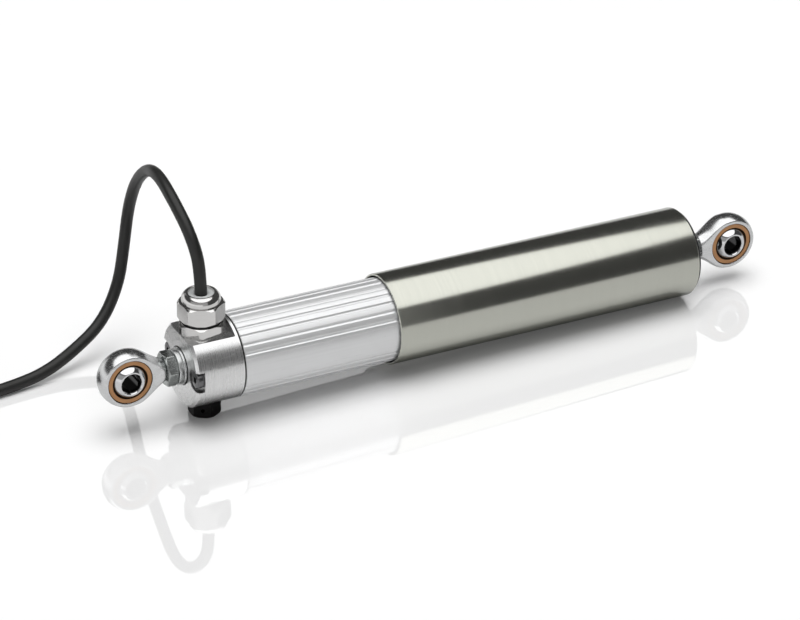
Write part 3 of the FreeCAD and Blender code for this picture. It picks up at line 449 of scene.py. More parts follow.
def metal(name, base, roughness, marks, **looks):
    """A finish of bare or plated metal."""
    return finish(name, base, roughness, marks, metallic=1.0, **looks)


def repaint(material):
    """The graph of a finish, its shader and the coordinates that a pattern is painted by."""
    graph = Graph(material.node_tree)
    shader = material.node_tree.nodes["Principled BSDF"]
    return graph, shader, graph.value("ShaderNodeTexCoord", output="Object")


def painted_shade_rings(material, axis, rings, centre=(0, 0, 0)):
    """Paints rings of (from, to, colour) about an axis on a finish, in millimetres; each ring
    is painted shade in a gap or hollow.
    """
    graph, shader, where = repaint(material)
    offset = graph.value("ShaderNodeVectorMath", {0: where, 1: centre}, operation="SUBTRACT")
    across = tuple(0.0 if name == axis else 1.0 for name in "XYZ")
    flat = graph.value("ShaderNodeVectorMath", {0: offset, 1: across}, operation="MULTIPLY")
    radius = graph.value("ShaderNodeVectorMath", {0: flat}, "Value", operation="LENGTH")
    tone = Signal(graph, shader.inputs["Base Color"].links[0].from_socket)
    soft = 0.06
    for start, end, shade in rings:
        begun = graph.spread(radius, (start - soft) * MM, (start + soft) * MM)
        ended = graph.spread(radius, (end - soft) * MM, (end + soft) * MM, 1.0, 0.0)
        tone = graph.blend(begun * ended, tone, shade)
    graph.feed(shader.inputs["Base Color"], tone)
    return material


def striped(material, axis, bounds, colours):
    """Paints bands of colour along an axis on a finish, with their bounds in millimetres."""
    graph, shader, where = repaint(material)
    value = graph.split(where)["XYZ".index(axis)]
    tone = colours[0]
    for bound, next_colour in zip(bounds, colours[1:]):
        beyond = graph.math("GREATER_THAN", value, bound * MM)
        tone = graph.blend(beyond, tone, next_colour)
    shade = graph.spread(graph.noise(where, 600.0, 3.0), 0.3, 0.7, 0.0, 0.18)
    graph.feed(shader.inputs["Base Color"], graph.blend(shade, tone, (0.0, 0.0, 0.0)))
    return material


class TRANSDUCER_OT_finishes(bpy.types.Operator):
    """Make the shared marks and every finish of the device"""
    bl_idname = "transducer.finishes"
    bl_label = "Finishes"

    def execute(self, context):
        for build in (turning_marks, drawn_lines, cast_grain, handling_wear, rim_wear):
            tree = build()
            GROUPS[tree.name] = tree
        looks = context.scene.transducer_finishes
        FINISHES.update(self.outside(looks))
        FINISHES.update(self.inside(looks))
        for side in ("fixed", "moving"):
            FINISHES.update(self.bearing(looks, side))
        return {"FINISHED"}

    def outside(self, looks):
        """The finishes of what shows."""
        satin, polish = looks.satin, looks.polish
        gland = (middle_of("gland_nut"), 0, 0)
        return {
            "tube": finish("satin anodised aluminium", looks.tube, satin + 0.05,
                           drawing(5200.0, 14.0), metallic=0.55, tint=0.05, bump=0.06,
                           smudge=0.02, rims=(*span("profile_tube", "X"), 0.6 * MM, 0.4)),
            # The cap has a painted shadow ring, 7.3 to 8.1 mm from the axis, round the washers
            # at its face.
            "cap": painted_shade_rings(metal("turned aluminium", looks.cap, satin, FINE_TURNING, tint=0.06,
                                spread=0.03, bump=0.03, smudge=0.015,
                                rims=(*span("end_cap", "X"), 0.7 * MM, 0.8)),
                          "X", [(7.3, 8.1, (0.05, 0.05, 0.05))]),
            # The sleeve's inside, out to 18.3 mm from the axis, is painted near black as shade.
            "sleeve": painted_shade_rings(metal("ground stainless steel", looks.sleeve, satin - 0.10,
                                   turning(5200.0, 6.0), tint=0.04, dark=0.2, spread=0.03,
                                   bump=0.02, scratches=0.03, smudge=0.02,
                                   rims=(*span("protective_sleeve", "X"), 0.5 * MM, 0.9)),
                             "X", [(0.0, 18.3, (0.02, 0.02, 0.02))]),
            "forging": metal("zinc-plated forging", looks.forging, 0.20, grain(1500.0, 260.0),
                             dark=0.35, bump=0.07, depth=0.05, smudge=0.08),
            "bright zinc": metal("bright zinc", (0.74, 0.755, 0.75), 0.24,
                                 grain(2200.0, 420.0), tint=0.1, bump=0.05, depth=0.03),
            "zinc": metal("passivated zinc", looks.zinc, 0.21, grain(2200.0, 420.0), tint=0.2,
                          dark=0.35, bump=0.08, depth=0.03),
            "nickel": metal("nickel-plated brass", looks.nickel, polish + 0.03, FINE_TURNING,
                            tint=0.05, spread=0.03, bump=0.04, axis="Z", centre=gland,
                            smudge=0.04, scratches=0.06),
            "insert": finish("grey elastomer", looks.insert, 0.45, grain(5000.0, 500.0),
                             tint=0.08, bump=0.15),
            "cable": finish("cable sheath", looks.cable, 0.36, grain(7000.0, 160.0), tint=0.2,
                            bump=0.12, depth=0.03, scratches=0.1, smudge=0.1),
            "plug": finish("moulded plastic", looks.plug, 0.45, grain(6000.0, 300.0),
                           tint=0.2, bump=0.2, specular=0.15),
            "rubber": finish("seal rubber", looks.rubber, 0.5, grain(7000.0, 400.0), tint=0.2,
                             bump=0.2),
            "screw": metal("dark screw steel", (0.20, 0.20, 0.205), 0.24, FINE_TURNING,
                           tint=0.1, bump=0.08),
            "strap": finish("woven strap", (0.022, 0.022, 0.024), 0.75, grain(2600.0, 900.0),
                            tint=0.3, bump=0.8, depth=0.15),
        }

    def inside(self, looks):
        """The finishes of what lies in the tube and the sleeve, and of the bare leads."""
        track, laminate = (0.015, 0.015, 0.016), (0.10, 0.15, 0.06)
        pin_lines = drawing(9000.0, 60.0)
        finishes = {
            "flange": metal("machined aluminium flange", (0.68, 0.69, 0.70), looks.satin,
                            FINE_TURNING, tint=0.08, bump=0.14),
            "hub": finish("black anodised hub", (0.02, 0.02, 0.021), 0.34,
                          turning(7000.0, 30.0), metallic=0.5, tint=0.08),
            "rod": metal("ground rod steel", (0.64, 0.64, 0.63), 0.14, turning(12000.0, 60.0),
                         tint=0.04, bump=0.05),
            "bush": metal("bush bronze", (0.50, 0.27, 0.12), 0.35, FINE_TURNING, tint=0.15),
            "wiper ring": finish("polyurethane", (0.10, 0.16, 0.22), 0.42,
                                 grain(6000.0, 400.0), tint=0.1),
            "membrane": finish("white membrane", (0.78, 0.78, 0.76), 0.6,
                               grain(9000.0, 800.0), tint=0.05, bump=0.3),
            "carriage": finish("carriage plastic", (0.62, 0.60, 0.53), 0.42,
                               grain(5000.0, 300.0), tint=0.08, bump=0.12),
            "brush": metal("spring alloy", (0.72, 0.58, 0.34), 0.2, pin_lines, tint=0.06),
            "pins": metal("tinned copper", (0.66, 0.65, 0.62), 0.24, pin_lines, tint=0.08),
            "board": striped(finish("glass laminate", (0.10, 0.16, 0.07), 0.38,
                                    grain(3000.0, 900.0)),
                             "Y", (-8.2, -3.8, 3.8, 8.2),
                             (laminate, track, laminate, track, laminate)),
            "leads": striped(finish("lead insulation", (0.3, 0.3, 0.3), 0.4,
                                    grain(6000.0, 400.0), bump=0.08),
                             "Y", (-0.6, 0.6),
                             ((0.55, 0.56, 0.55), (0.20, 0.085, 0.03), (0.04, 0.22, 0.06))),
        }
        for name, tone in (("white", (0.62, 0.62, 0.60)), ("brown", (0.16, 0.065, 0.025)),
                           ("green", (0.03, 0.20, 0.05))):
            finishes[f"lead {name}"] = finish(f"{name} insulation", tone, 0.38,
                                              grain(6000.0, 300.0), bump=0.08)
        return finishes

    def bearing(self, looks, side):
        """The finishes of one ball and its race, with painted shade in the ball's bore and
        painted shadow rings in the gaps where ball, race and eye meet.
        """
        centre = (middle_of("moving_ball") if side == "moving" else 0, 0, 0)
        painted_bore_shade, painted_gap_shadow = (0.06, 0.06, 0.06), (0.06, 0.035, 0.02)
        ball = metal(f"polished bearing steel, {side} eye", looks.ball, looks.polish,
                     FINE_TURNING, tint=0.04, spread=0.02, bump=0.02, axis="Y",
                     centre=centre, smudge=0.02, scratches=0.04)
        race = metal(f"bearing bronze, {side} eye", looks.bronze, 0.32, turning(7000.0, 150.0),
                     tint=0.2, dark=0.35, bump=0.12, axis="Y", centre=centre)
        # Painted shade: the ball's bore is darkened, and dark rings at the race's mouth and
        # outer edge stand for the shadow in the gaps to the ball and to the eye.
        return {
            f"ball {side}": painted_shade_rings(ball, "Y", [(0.0, 4.25, painted_bore_shade)], centre),
            f"race {side}": painted_shade_rings(race, "Y", [(0.0, 7.55, painted_gap_shadow), (9.2, 12.0, painted_gap_shadow)],
                                   centre),
        }


# Helpers that build meshes, in millimetres

def rounded(points, steps=4):
    """A closed outline of (along, radius, fillet) points, each corner rounded."""
    outline = []
    count = len(points)
    for index, (along, radius, fillet) in enumerate(points):
        here = Vector((along, radius))
        before = Vector(points[index - 1][:2]) - here
        after = Vector(points[(index + 1) % count][:2]) - here
        if fillet <= 0.0:
            outline.append((along, radius))
            continue
        opening = before.angle(after)
        reach = min(fillet / math.tan(opening / 2), before.length * 0.48, after.length * 0.48)
        start, end = here + before.normalized() * reach, here + after.normalized() * reach
        bisector = (before.normalized() + after.normalized()).normalized()
        true_fillet = reach * math.tan(opening / 2)
        middle = here + bisector * (true_fillet / math.sin(opening / 2))
        first, last = start - middle, end - middle
        sweep = first.angle_signed(last)
        for step in range(steps + 1):
            turned = first.copy()
            turned.rotate(Matrix.Rotation(-sweep * step / steps, 2))
            outline.append(tuple(middle + turned))
    return outline


def band(low, high, inner, outer, outer_fillet=0.0, inner_fillet=0.0):
    """The outline of a plain ring."""
    return [(low, inner, inner_fillet), (low, outer, outer_fillet),
            (high, outer, outer_fillet), (high, inner, inner_fillet)]


def axis_point(axis, centre, along, radius, turn):
    """A point at a radius and an angle about an axis through a centre."""
    first, second = radius * math.cos(turn), radius * math.sin(turn)
    offset = {"X": (along, first, second), "Y": (first, along, second),
              "Z": (first, second, along)}[axis]
    return Vector(centre) + Vector(offset) * MM


def even_turns(count):
    """Evenly spaced angles of a full turn."""
    return [2 * math.pi * index / count for index in range(count)]


def skin(mesh, rows, closed=True):
    """Joins rows of points with faces, the last to the first; closed joins their ends."""
    count = len(rows[0])
    for low, high in zip(rows, rows[1:] + rows[:1]):
        for index in range(count if closed else count - 1):
            after = (index + 1) % count
            mesh.faces.new((low[index], low[after], high[after], high[index]))


def ring_mesh(mesh, rows, turns, axis="X", centre=(0, 0, 0)):
    """Adds a ring about an axis; a row is (along, radius), or gives them for an angle."""
    grid = []
    for row in rows:
        ring = []
        for turn in turns:
            along, radius = row(turn) if callable(row) else row
            ring.append(mesh.verts.new(axis_point(axis, centre, along, radius, turn)))
        grid.append(ring)
    skin(mesh, grid)


def split_ring_mesh(mesh, outline, start, end, slant, steps=120):
    """Adds a ring about the X axis with a slit that slants by so much to the millimetre."""
    grid = []
    for along, radius in outline:
        turns = [start + (end - start) * step / steps + slant * along
                 for step in range(steps + 1)]
        grid.append([mesh.verts.new(axis_point("X", (0, 0, 0), along, radius, turn))
                     for turn in turns])
    skin(mesh, grid, closed=False)
    mesh.faces.new([row[0] for row in grid])
    mesh.faces.new([row[-1] for row in reversed(grid)])


def clean(mesh):
    """Joins what coincides and turns every face outwards."""
    bmesh.ops.remove_doubles(mesh, verts=mesh.verts, dist=1e-7)
    bmesh.ops.dissolve_degenerate(mesh, dist=1e-7, edges=mesh.edges)
    bmesh.ops.recalc_face_normals(mesh, faces=mesh.faces)


def smooth_data(name, mesh, sharp):
    """Keeps a mesh, smooth but for edges sharper than an angle in degrees."""
    data = bpy.data.meshes.new(name)
    mesh.to_mesh(data)
    mesh.free()
    data.shade_smooth()
    data.set_sharp_from_angle(angle=math.radians(sharp))
    return data


def settle(name, data, finish_names, body, nodes):
    """Links a mesh or curve as a piece, with its finishes, its body and the nodes it stands
    for.
    """
    piece = bpy.data.objects.new(name, data)
    bpy.context.scene.collection.objects.link(piece)
    data.materials.clear()
    for finish_name in finish_names:
        data.materials.append(FINISHES[finish_name])
    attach(piece, body)
    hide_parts(*nodes)
    return piece


def add_piece(name, mesh, finish_name, body, nodes, sharp=40.0):
    """Turns a mesh into a finished piece that rides on a body in place of its nodes."""
    return settle(name, smooth_data(name, mesh, sharp), [finish_name], body, nodes)


def bevel(piece, width, segments=2, limit=22.0):
    """Breaks the edges of a piece that are sharper than a limit in degrees."""
    modifier = piece.modifiers.new("Broken edges", "BEVEL")
    modifier.width = width
    modifier.segments = segments
    modifier.limit_method = "ANGLE"
    modifier.angle_limit = math.radians(limit)
    modifier.harden_normals = True
    modifier.miter_outer = "MITER_ARC"


class Hexagon:
    """A hexagon whose corners, one of them at a known angle, are turned down to a circle."""

    def __init__(self, across, corner, limit):
        self.across = across
        self.corner = corner
        self.limit = limit

    def reach(self, turn):
        """How far it reaches at an angle."""
        sixth = math.radians(60)
        off = (turn - self.corner) % sixth
        return min(self.across / 2 / math.cos(sixth / 2 - off), self.limit)

    def turns(self, side_steps=12, corner_steps=5):
        """Angles round it, which meet the ends of every turned corner."""
        edge = math.acos(self.across / 2 / self.limit)
        rest = math.radians(60) - 2 * edge
        turns = []
        for side in range(6):
            middle = self.corner + math.radians(30 + 60 * side)
            turns += [middle + edge * (2 * step / side_steps - 1)
                      for step in range(side_steps + 1)]
            turns += [middle + edge + rest * step / corner_steps
                      for step in range(1, corner_steps)]
        return turns

    def rows(self, low, high, bore, face, slope):
        """Rows of a bored prism whose corners are cut back to a circle at its faces."""
        def cut_back(turn):
            """How far a face's edge is cut back at an angle."""
            return max(0.0, self.reach(turn) - face) * slope

        return [
            (low, bore),
            lambda turn: (low, min(face, self.reach(turn))),
            lambda turn: (low + cut_back(turn), self.reach(turn)),
            lambda turn: (high - cut_back(turn), self.reach(turn)),
            lambda turn: (high, min(face, self.reach(turn))),
            (high, bore),
        ]


def turned_piece(name, points, finish_name, body, slot, nodes, axis="X", centre=(0, 0, 0),
                 count=192, steps=4):
    """A piece turned about an axis from one outline of (along, radius, fillet) points."""
    mesh = bmesh.new()
    ring_mesh(mesh, rounded(points, steps), even_turns(count), axis, centre)
    clean(mesh)
    return add_piece(name, mesh, finish_name, body, nodes)


def softened(name, node, finish_name, width):
    """A merged copy of a solid of the housing, with broken edges."""
    mesh = bmesh.new()
    mesh.from_mesh(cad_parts[node].data)
    bmesh.ops.remove_doubles(mesh, verts=mesh.verts, dist=1e-6)
    bmesh.ops.dissolve_limit(mesh, angle_limit=math.radians(0.4), verts=mesh.verts,
                             edges=mesh.edges)
    piece = add_piece(name, mesh, finish_name, "housing", [node], 25.0)
    bevel(piece, width, limit=25.0)


# The cable: its route as control points in metres, and its coil

CABLE_ROUTE = [
    (0.0326, 0.0, 0.0200),
    (0.0329, 0.0, 0.0400),
    (0.0314, 0.0060, 0.0535),
    (0.0296, 0.0194, 0.0637),
    (0.0306, 0.0363, 0.0670),
    (0.0328, 0.0526, 0.0618),
    (0.0329, 0.0651, 0.0506),
    (0.0324, 0.0727, 0.0349),
    (0.0302, 0.0729, 0.0176),
    (0.0254, 0.0682, 0.0026),
    (0.0151, 0.0620, -0.0100),
    (0.0004, 0.0564, -0.0166),
    (-0.0149, 0.0511, -0.0210),
    (-0.0316, 0.0486, -0.0224),
    (-0.0485, 0.0472, -0.0226),
    (-0.0650, 0.0452, -0.0227),
]
COIL_MIDDLE = (-0.0687, 0.0760)
COIL_ENTRY = -83.1
COIL_END = -75.0
COIL_TURNS = 4
POINTS_PER_TURN = 14
COIL_FOOT = 3.0 * MM

# The X at which the vent plug's edge stands on the surface
SURFACE_START = 0.0396


def surface():
    """The height of the resting surface below the vent plug, and its slope along X."""
    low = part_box("vent_plug")[0][2]
    sleeve_low, sleeve_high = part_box("protective_sleeve")
    return low, (sleeve_low[2] - low) / (sleeve_high[0] - SURFACE_START)


def coil_place():
    """From the coil's own frame, upright on the surface, to the frame of the object."""
    low, slope = surface()
    x, y = COIL_MIDDLE
    place = Vector((x, y, low + slope * (x - SURFACE_START)))
    return Matrix.Translation(place) @ Matrix.Rotation(-math.atan(slope), 4, "Y")


def coil_point(turn, radius, height):
    """A point of the coil's own frame."""
    return Vector((radius * math.cos(turn), radius * math.sin(turn), height))


def turn_place(turns, outer, pitch):
    """The radius and height of the cable after some turns of the coil: out, in, up, out."""
    moves = [(0.83, 1.03, -pitch, 0.0), (1.75, 1.97, 0.0, pitch), (2.83, 3.03, pitch, 0.0)]
    radius, height = outer, COIL_FOOT
    for start, end, outwards, upwards in moves:
        part = min(max((turns - start) / (end - start), 0.0), 1.0)
        part = part * part * (3 - 2 * part)
        radius += outwards * part
        height += upwards * part
    return radius, height


def cord_curve(name, points, radius, resolution):
    """A round cord along one smooth curve through the pull of its points."""
    curve = bpy.data.curves.new(name, "CURVE")
    curve.dimensions = "3D"
    curve.bevel_depth = radius
    curve.bevel_resolution = resolution
    curve.use_fill_caps = True
    curve.resolution_u = 12
    spline = curve.splines.new("NURBS")
    spline.points.add(len(points) - 1)
    for target, point in zip(spline.points, points):
        target.co = (*point, 1.0)
    spline.order_u = 3
    spline.use_endpoint_u = True
    return curve


def plain_mesh(holder):
    """What an object looks like once its curve or modifiers are made a mesh."""
    graph = bpy.context.evaluated_depsgraph_get()
    return bpy.data.meshes.new_from_object(holder.evaluated_get(graph),
                                           preserve_all_data_layers=True, depsgraph=graph)


class TRANSDUCER_OT_cable(bpy.types.Operator):
    """Lay the cable along its route, with the spare length in a coil"""
    bl_idname = "transducer.cable"
    bl_label = "Cable"

    def execute(self, context):
        sizes = context.scene.transducer_sizes
        points = [Vector(point) for point in CABLE_ROUTE]
        place = coil_place()
        turns = COIL_TURNS - (COIL_END - COIL_ENTRY) / 360
        wider = 1 / math.cos(math.pi / POINTS_PER_TURN)
        count = round(turns * POINTS_PER_TURN)
        for index in range(1, count + 1):
            done = turns * index / count
            radius, height = turn_place(done, sizes.turn_radius, sizes.cable_diameter)
            turn = math.radians(COIL_ENTRY - 360 * done)
            points.append(place @ coil_point(turn, radius * wider, height))
        curve = cord_curve("cable", points, sizes.cable_diameter / 2, 8)
        settle("cable", curve, ["cable"], "housing",
               ["cable_run", "cable_coil"])
        return {"FINISHED"}


class TRANSDUCER_OT_cable_end(bpy.types.Operator):
    """Strap the coil and let the bare leads out of the end of the cable"""
    bl_idname = "transducer.cable_end"
    bl_label = "Strap and leads"

    # Where the leads leave the sheath and where they lie on the coil, in millimetres
    end_radius, end_height = 31.0, 8.0
    lead_radius, lead_height = 0.75, 11.25
    lead_spacing = 0.9

    def execute(self, context):
        place = coil_place()
        strap = self.strap(place)
        leads = self.leads(context, place)
        return {"FINISHED"}

    def strap(self, place):
        """A woven strap round the turns of the coil."""
        # Where the strap sits on the coil, and its section, in millimetres
        middle = Vector((28.5, 0.0, 5.5))
        half_size, corner, thick, width = 5.5, 2.9, 0.45, 9.0
        turned = place @ Matrix.Rotation(math.radians(140), 4, "Z")
        section = []
        for quarter, side in enumerate(((1, 1), (-1, 1), (-1, -1), (1, -1))):
            for step in range(9):
                turn = math.radians(90 * quarter + 90 * step / 8)
                way = Vector((math.cos(turn), math.sin(turn)))
                section.append((Vector(side) * (half_size - corner), way))
        mesh = bmesh.new()
        rows = []
        for edge, depth in ((-0.5, 0.0), (-0.5, thick), (0.5, thick), (0.5, 0.0)):
            flat = [centre + way * (corner - thick + depth) for centre, way in section]
            rows.append([
                mesh.verts.new(turned @ ((middle + Vector((x, edge * width, z))) * MM))
                for x, z in flat])
        skin(mesh, rows)
        clean(mesh)
        return add_piece("coil_strap", mesh, "strap", "housing", ["coil_tie"], 60)

    def lead_places(self, radius, around):
        """(turn, radius, height) of a lead from the sheath, up on the coil and along it."""
        start = math.radians(COIL_END)
        rise = self.lead_height - self.end_height
        places = []
        for degrees, risen in ((1.5, 0.0), (-2.0, 0.03), (-6.0, 0.25), (-11.0, 0.75),
                               (-16.0, 1.0)):
            apart = (1 - risen) * self.lead_spacing
            out = self.end_radius + (radius - self.end_radius) * risen
            places.append((start + math.radians(degrees), out + apart * math.cos(around),
                           self.end_height + rise * risen + apart * math.sin(around)))
        for degrees in range(24, 76, 8):
            places.append((start - math.radians(degrees), radius, self.lead_height))
        return places

    def ferrule(self):
        """A crimped ferrule with its collar, along the X axis."""
        mesh = bmesh.new()
        outline = rounded([(-1.6, 0.0, 0), (-1.6, 0.95, 0.1), (0.3, 0.95, 0.15),
                           (0.9, 0.55, 0.1), (7.6, 0.55, 0.15), (7.6, 0.0, 0)], 3)
        ring_mesh(mesh, outline, even_turns(24))
        clean(mesh)
        data = bpy.data.meshes.new("ferrule")
        mesh.to_mesh(data)
        mesh.free()
        return data

    def append(self, mesh, data, finish_number):
        """Adds faces to a mesh, with their place in its list of finishes."""
        before = len(mesh.faces)
        mesh.from_mesh(data)
        mesh.faces.ensure_lookup_table()
        for face in mesh.faces[before:]:
            face.material_index = finish_number

    def leads(self, context, place):
        """Three insulated leads with crimped ferrules, lying on the coil."""
        tones, radii = ("white", "brown", "green"), (26.7, 28.5, 30.3)
        joined = bmesh.new()
        for index, radius in enumerate(radii):
            places = self.lead_places(radius, math.radians(120 * index + 90))
            points = [place @ (coil_point(*point) * MM) for point in places]
            curve = cord_curve(f"lead_{index}", points, self.lead_radius * MM, 4)
            holder = bpy.data.objects.new(f"lead_{index}", curve)
            context.scene.collection.objects.link(holder)
            self.append(joined, plain_mesh(holder), index)
            bpy.data.objects.remove(holder)
            turn = places[-1][0]
            way = place.to_3x3() @ Vector((math.sin(turn), -math.cos(turn), 0.0))
            turned = Vector((1, 0, 0)).rotation_difference(way.normalized())
            ferrule = self.ferrule()
            ferrule.transform(Matrix.Translation(points[-1]) @ turned.to_matrix().to_4x4())
            self.append(joined, ferrule, len(tones))
        return settle("bare_leads", smooth_data("bare_leads", joined, 50),
                      [f"lead {tone}" for tone in tones] + ["pins"], "housing",
                      ["cable_leads"])


# Forged rod ends, made by a rule on a grid of distances

def forging_tree():
    """The forging as one skin: a barrel-shaped eye that runs out into a flattened neck."""
    sizes = {"Head Radius": 12.0, "Half Width": 4.5, "Rim Drop": 1.1, "Seat": 9.42,
             "Neck Start": 4.0, "Neck Start Radius": 10.5, "Neck End": 15.5,
             "Neck End Radius": 4.6, "Shank Radius": 3.98, "Shank End": 37.5,
             "Grid": 0.24, "Edge": 0.7, "Blend": 3.2}
    graph, given, last = geometry_tree("forged rod end", [
        ("Facing", "value", 1.0), ("Eye", "value", 0.0),
        *((name, "value", size * MM) for name, size in sizes.items()),
    ])
    # The cosine of the cone's slope, the share of the neck in which the shank begins, the
    # cells over which the density fades, and the room left round the forging
    cone_cosine, shank_root, fade, room = 0.89, 0.8, 4.0, 0.6 * MM

    along, y, z = graph.split(graph.value("GeometryNodeInputPosition"))
    x = (along - given["Eye"]) * given["Facing"]
    from_bore = graph.distance(x, z)
    from_axis = graph.distance(y, z)
    out = y / given["Half Width"]
    barrel = given["Head Radius"] - given["Rim Drop"] * (out * out)
    head = from_bore - barrel
    fall = ((given["Neck Start Radius"] - given["Neck End Radius"])
            / (given["Neck End"] - given["Neck Start"]))
    cone = given["Neck Start Radius"] - (x - given["Neck Start"]) * fall
    neck = (from_axis - cone) * cone_cosine
    neck = graph.math("SMOOTH_MAX", neck, given["Neck Start"] - x, given["Blend"])
    neck = graph.most(neck, x - given["Neck End"])
    shank = graph.most(from_axis - given["Shank Radius"], x - given["Shank End"])
    shank = graph.most(shank, given["Neck End"] * shank_root - x)
    half_edge = given["Edge"] * 0.5
    blank = graph.math("SMOOTH_MIN", head, neck, given["Blend"])
    blank = graph.math("SMOOTH_MAX", blank, abs(y) - given["Half Width"], given["Edge"])
    blank = graph.math("SMOOTH_MIN", blank, shank, half_edge)
    forging = graph.math("SMOOTH_MAX", blank, given["Seat"] - from_bore, half_edge)
    inside = 0.5 - forging / (given["Grid"] * fade)
    inside = graph.least(graph.most(inside, 0.0), 1.0)

    back = given["Head Radius"] + room
    front = given["Shank End"] + room
    side = given["Half Width"] + room
    one_end = given["Eye"] - back * given["Facing"]
    other_end = given["Eye"] + front * given["Facing"]
    steps = [graph.math("CEIL", whole / given["Grid"])
             for whole in (back + front, side * 2.0, back * 2.0)]
    cloud = graph.value("GeometryNodeVolumeCube", {
        "Density": inside,
        "Min": graph.vector(graph.least(one_end, other_end), -side, -back),
        "Max": graph.vector(graph.most(one_end, other_end), side, back),
        "Resolution X": steps[0], "Resolution Y": steps[1], "Resolution Z": steps[2],
    })
    faces = graph.value("GeometryNodeVolumeToMesh", {"Volume": cloud, "Threshold": 0.5})
    smooth = graph.value("GeometryNodeSetShadeSmooth", {"Geometry": faces})
    graph.end(last, smooth, given["Material"])
    return graph.tree


def bake(name, tree, values, finish_name, body, nodes, source=None):
    """Runs a geometry tree with its named inputs and keeps the result as a plain mesh."""
    holder = bpy.data.objects.new(name, source or bpy.data.meshes.new(name))
    bpy.context.scene.collection.objects.link(holder)
    modifier = holder.modifiers.new(tree.name, "NODES")
    modifier.node_group = tree
    sockets = {item.name: item.identifier for item in tree.interface.items_tree
               if item.in_out == "INPUT"}
    for key, value in {"Material": FINISHES[finish_name], **values}.items():
        modifier[sockets[key]] = value
    holder.update_tag()
    data = plain_mesh(holder)
    holder.modifiers.remove(modifier)
    bpy.data.objects.remove(holder)
    if not data.polygons:
        raise RuntimeError(f"{name}: the tree {tree.name} made no faces")
    return settle(name, data, [finish_name], body, nodes)


class TRANSDUCER_OT_rod_ends(bpy.types.Operator):
    """Forge the two rod ends"""
    bl_idname = "transducer.rod_ends"
    bl_label = "Rod ends"

    def execute(self, context):
        sizes = context.scene.transducer_sizes
        tree = forging_tree()
        shared = {"Grid": sizes.forging_grid, "Edge": sizes.soft_edge,
                  "Blend": sizes.neck_blend}
        bake("rod_end_fixed", tree, {"Facing": 1.0, "Eye": 0.0, **shared}, "forging",
             "housing", ["fixed_rod_end"])
        bake("rod_end_moving", tree,
             {"Facing": -1.0, "Eye": middle_of("moving_ball"), **shared}, "forging",
             "rod", ["moving_rod_end"])
        return {"FINISHED"}


class TRANSDUCER_OT_bearings(bpy.types.Operator):
    """Turn the two balls and their races"""
    bl_idname = "transducer.bearings"
    bl_label = "Spherical bearings"

    def execute(self, context):
        sizes = context.scene.transducer_sizes
        ball_outline = self.ball(sizes.ball_radius / MM, sizes.eye_bore / MM)
        race_outline = self.race((sizes.ball_radius + sizes.ball_play) / MM)
        for side, body, ball_body, place in (
                ("fixed", "housing", "fixed_ball", 0.0),
                ("moving", "rod", "moving_ball", middle_of("moving_ball"))):
            where = ("Y", (place, 0, 0), 160)
            turned_piece(f"ball_{side}", ball_outline, f"ball {side}", ball_body,
                         "ball_steel", [f"{side}_ball"], *where)
            turned_piece(f"race_{side}", race_outline, f"race {side}", body,
                         "bearing_bronze", [f"{side}_race"], *where)
        return {"FINISHED"}

    def ball(self, radius, bore, half=6.0, flare=0.6, steps=24):
        """A ball cut flat on both sides, its bore flared."""
        rim = math.sqrt(radius * radius - half * half)
        edge = math.asin(half / radius)
        bulge = [(radius * math.sin(edge * step / steps),
                  radius * math.cos(edge * step / steps), 0)
                 for step in range(1 - steps, steps)]
        return [(-half, bore + flare, 0.1), (-half, rim, 0.12), *bulge, (half, rim, 0.12),
                (half, bore + flare, 0.1), (half - flare, bore, 0.12),
                (flare - half, bore, 0.12)]

    def race(self, radius, half=4.1, outer=9.4, mouth=7.5, cup_half=3.45, steps=20):
        """A ring with a cup for the ball inside."""
        end = math.asin(cup_half / radius)
        cup = [(radius * math.sin(-end * step / steps), radius * math.cos(end * step / steps),
                0) for step in range(-steps, steps + 1)]
        return [*band(-half, half, mouth, outer, 0.3, 0.08), *cup]


class TRANSDUCER_OT_lock_parts(bpy.types.Operator):
    """Make the jam nuts, spring washers and flat washers of both rod ends"""
    bl_idname = "transducer.lock_parts"
    bl_label = "Nuts and washers"

    def execute(self, context):
        sizes = context.scene.transducer_sizes
        across = sizes.nut_across / MM
        for side, body, corner, plated in (
                ("fixed", "housing", sizes.nut_turn, "zinc"),
                ("moving", "rod", math.pi - sizes.nut_turn, "bright zinc")):
            self.nut(side, body, across, corner, plated)
            self.flat_washer(side, body)
            self.spring_washer(side, body)
        return {"FINISHED"}

    def nut(self, side, body, across, corner, plated, corner_share=1.138):
        """A jam nut; its corners are turned down to a share of half its width."""
        low, high = span_mm(f"{side}_jam_nut", "X")
        hexagon = Hexagon(across, corner, across / 2 * corner_share)
        mesh = bmesh.new()
        rows = hexagon.rows(low, high, bore=4.02, face=across / 2 - 0.15, slope=0.6)
        ring_mesh(mesh, rows, hexagon.turns())
        clean(mesh)
        piece = add_piece(f"jam_nut_{side}", mesh, plated, body,
                          [f"{side}_jam_nut"], 30.0)
        bevel(piece, 0.24 * MM, 3)

    def flat_washer(self, side, body):
        """A plain washer."""
        low, high = span_mm(f"{side}_flat_washer", "X")
        outline = band(low, high, inner=4.3, outer=7.7, outer_fillet=0.35, inner_fillet=0.1)
        turned_piece(f"flat_washer_{side}", outline, "bright zinc", body, "washer_steel",
                     [f"{side}_flat_washer"], count=128)

    def spring_washer(self, side, body, half_slit=4.0):
        """A split washer; the slits of the two sides slant towards each other."""
        low, high = span_mm(f"{side}_lock_washer", "X")
        slant = 0.06 if side == "fixed" else -0.06
        straight = slant * (low + high) / 2
        start = math.radians(-90 + half_slit) - straight
        end = math.radians(270 - half_slit) - straight
        outline = band(low, high, inner=4.3, outer=7.4, outer_fillet=0.3, inner_fillet=0.2)
        mesh = bmesh.new()
        split_ring_mesh(mesh, rounded(outline), start, end, slant)
        clean(mesh)
        add_piece(f"spring_washer_{side}", mesh, "bright zinc", body,
                  [f"{side}_lock_washer"], 35.0)


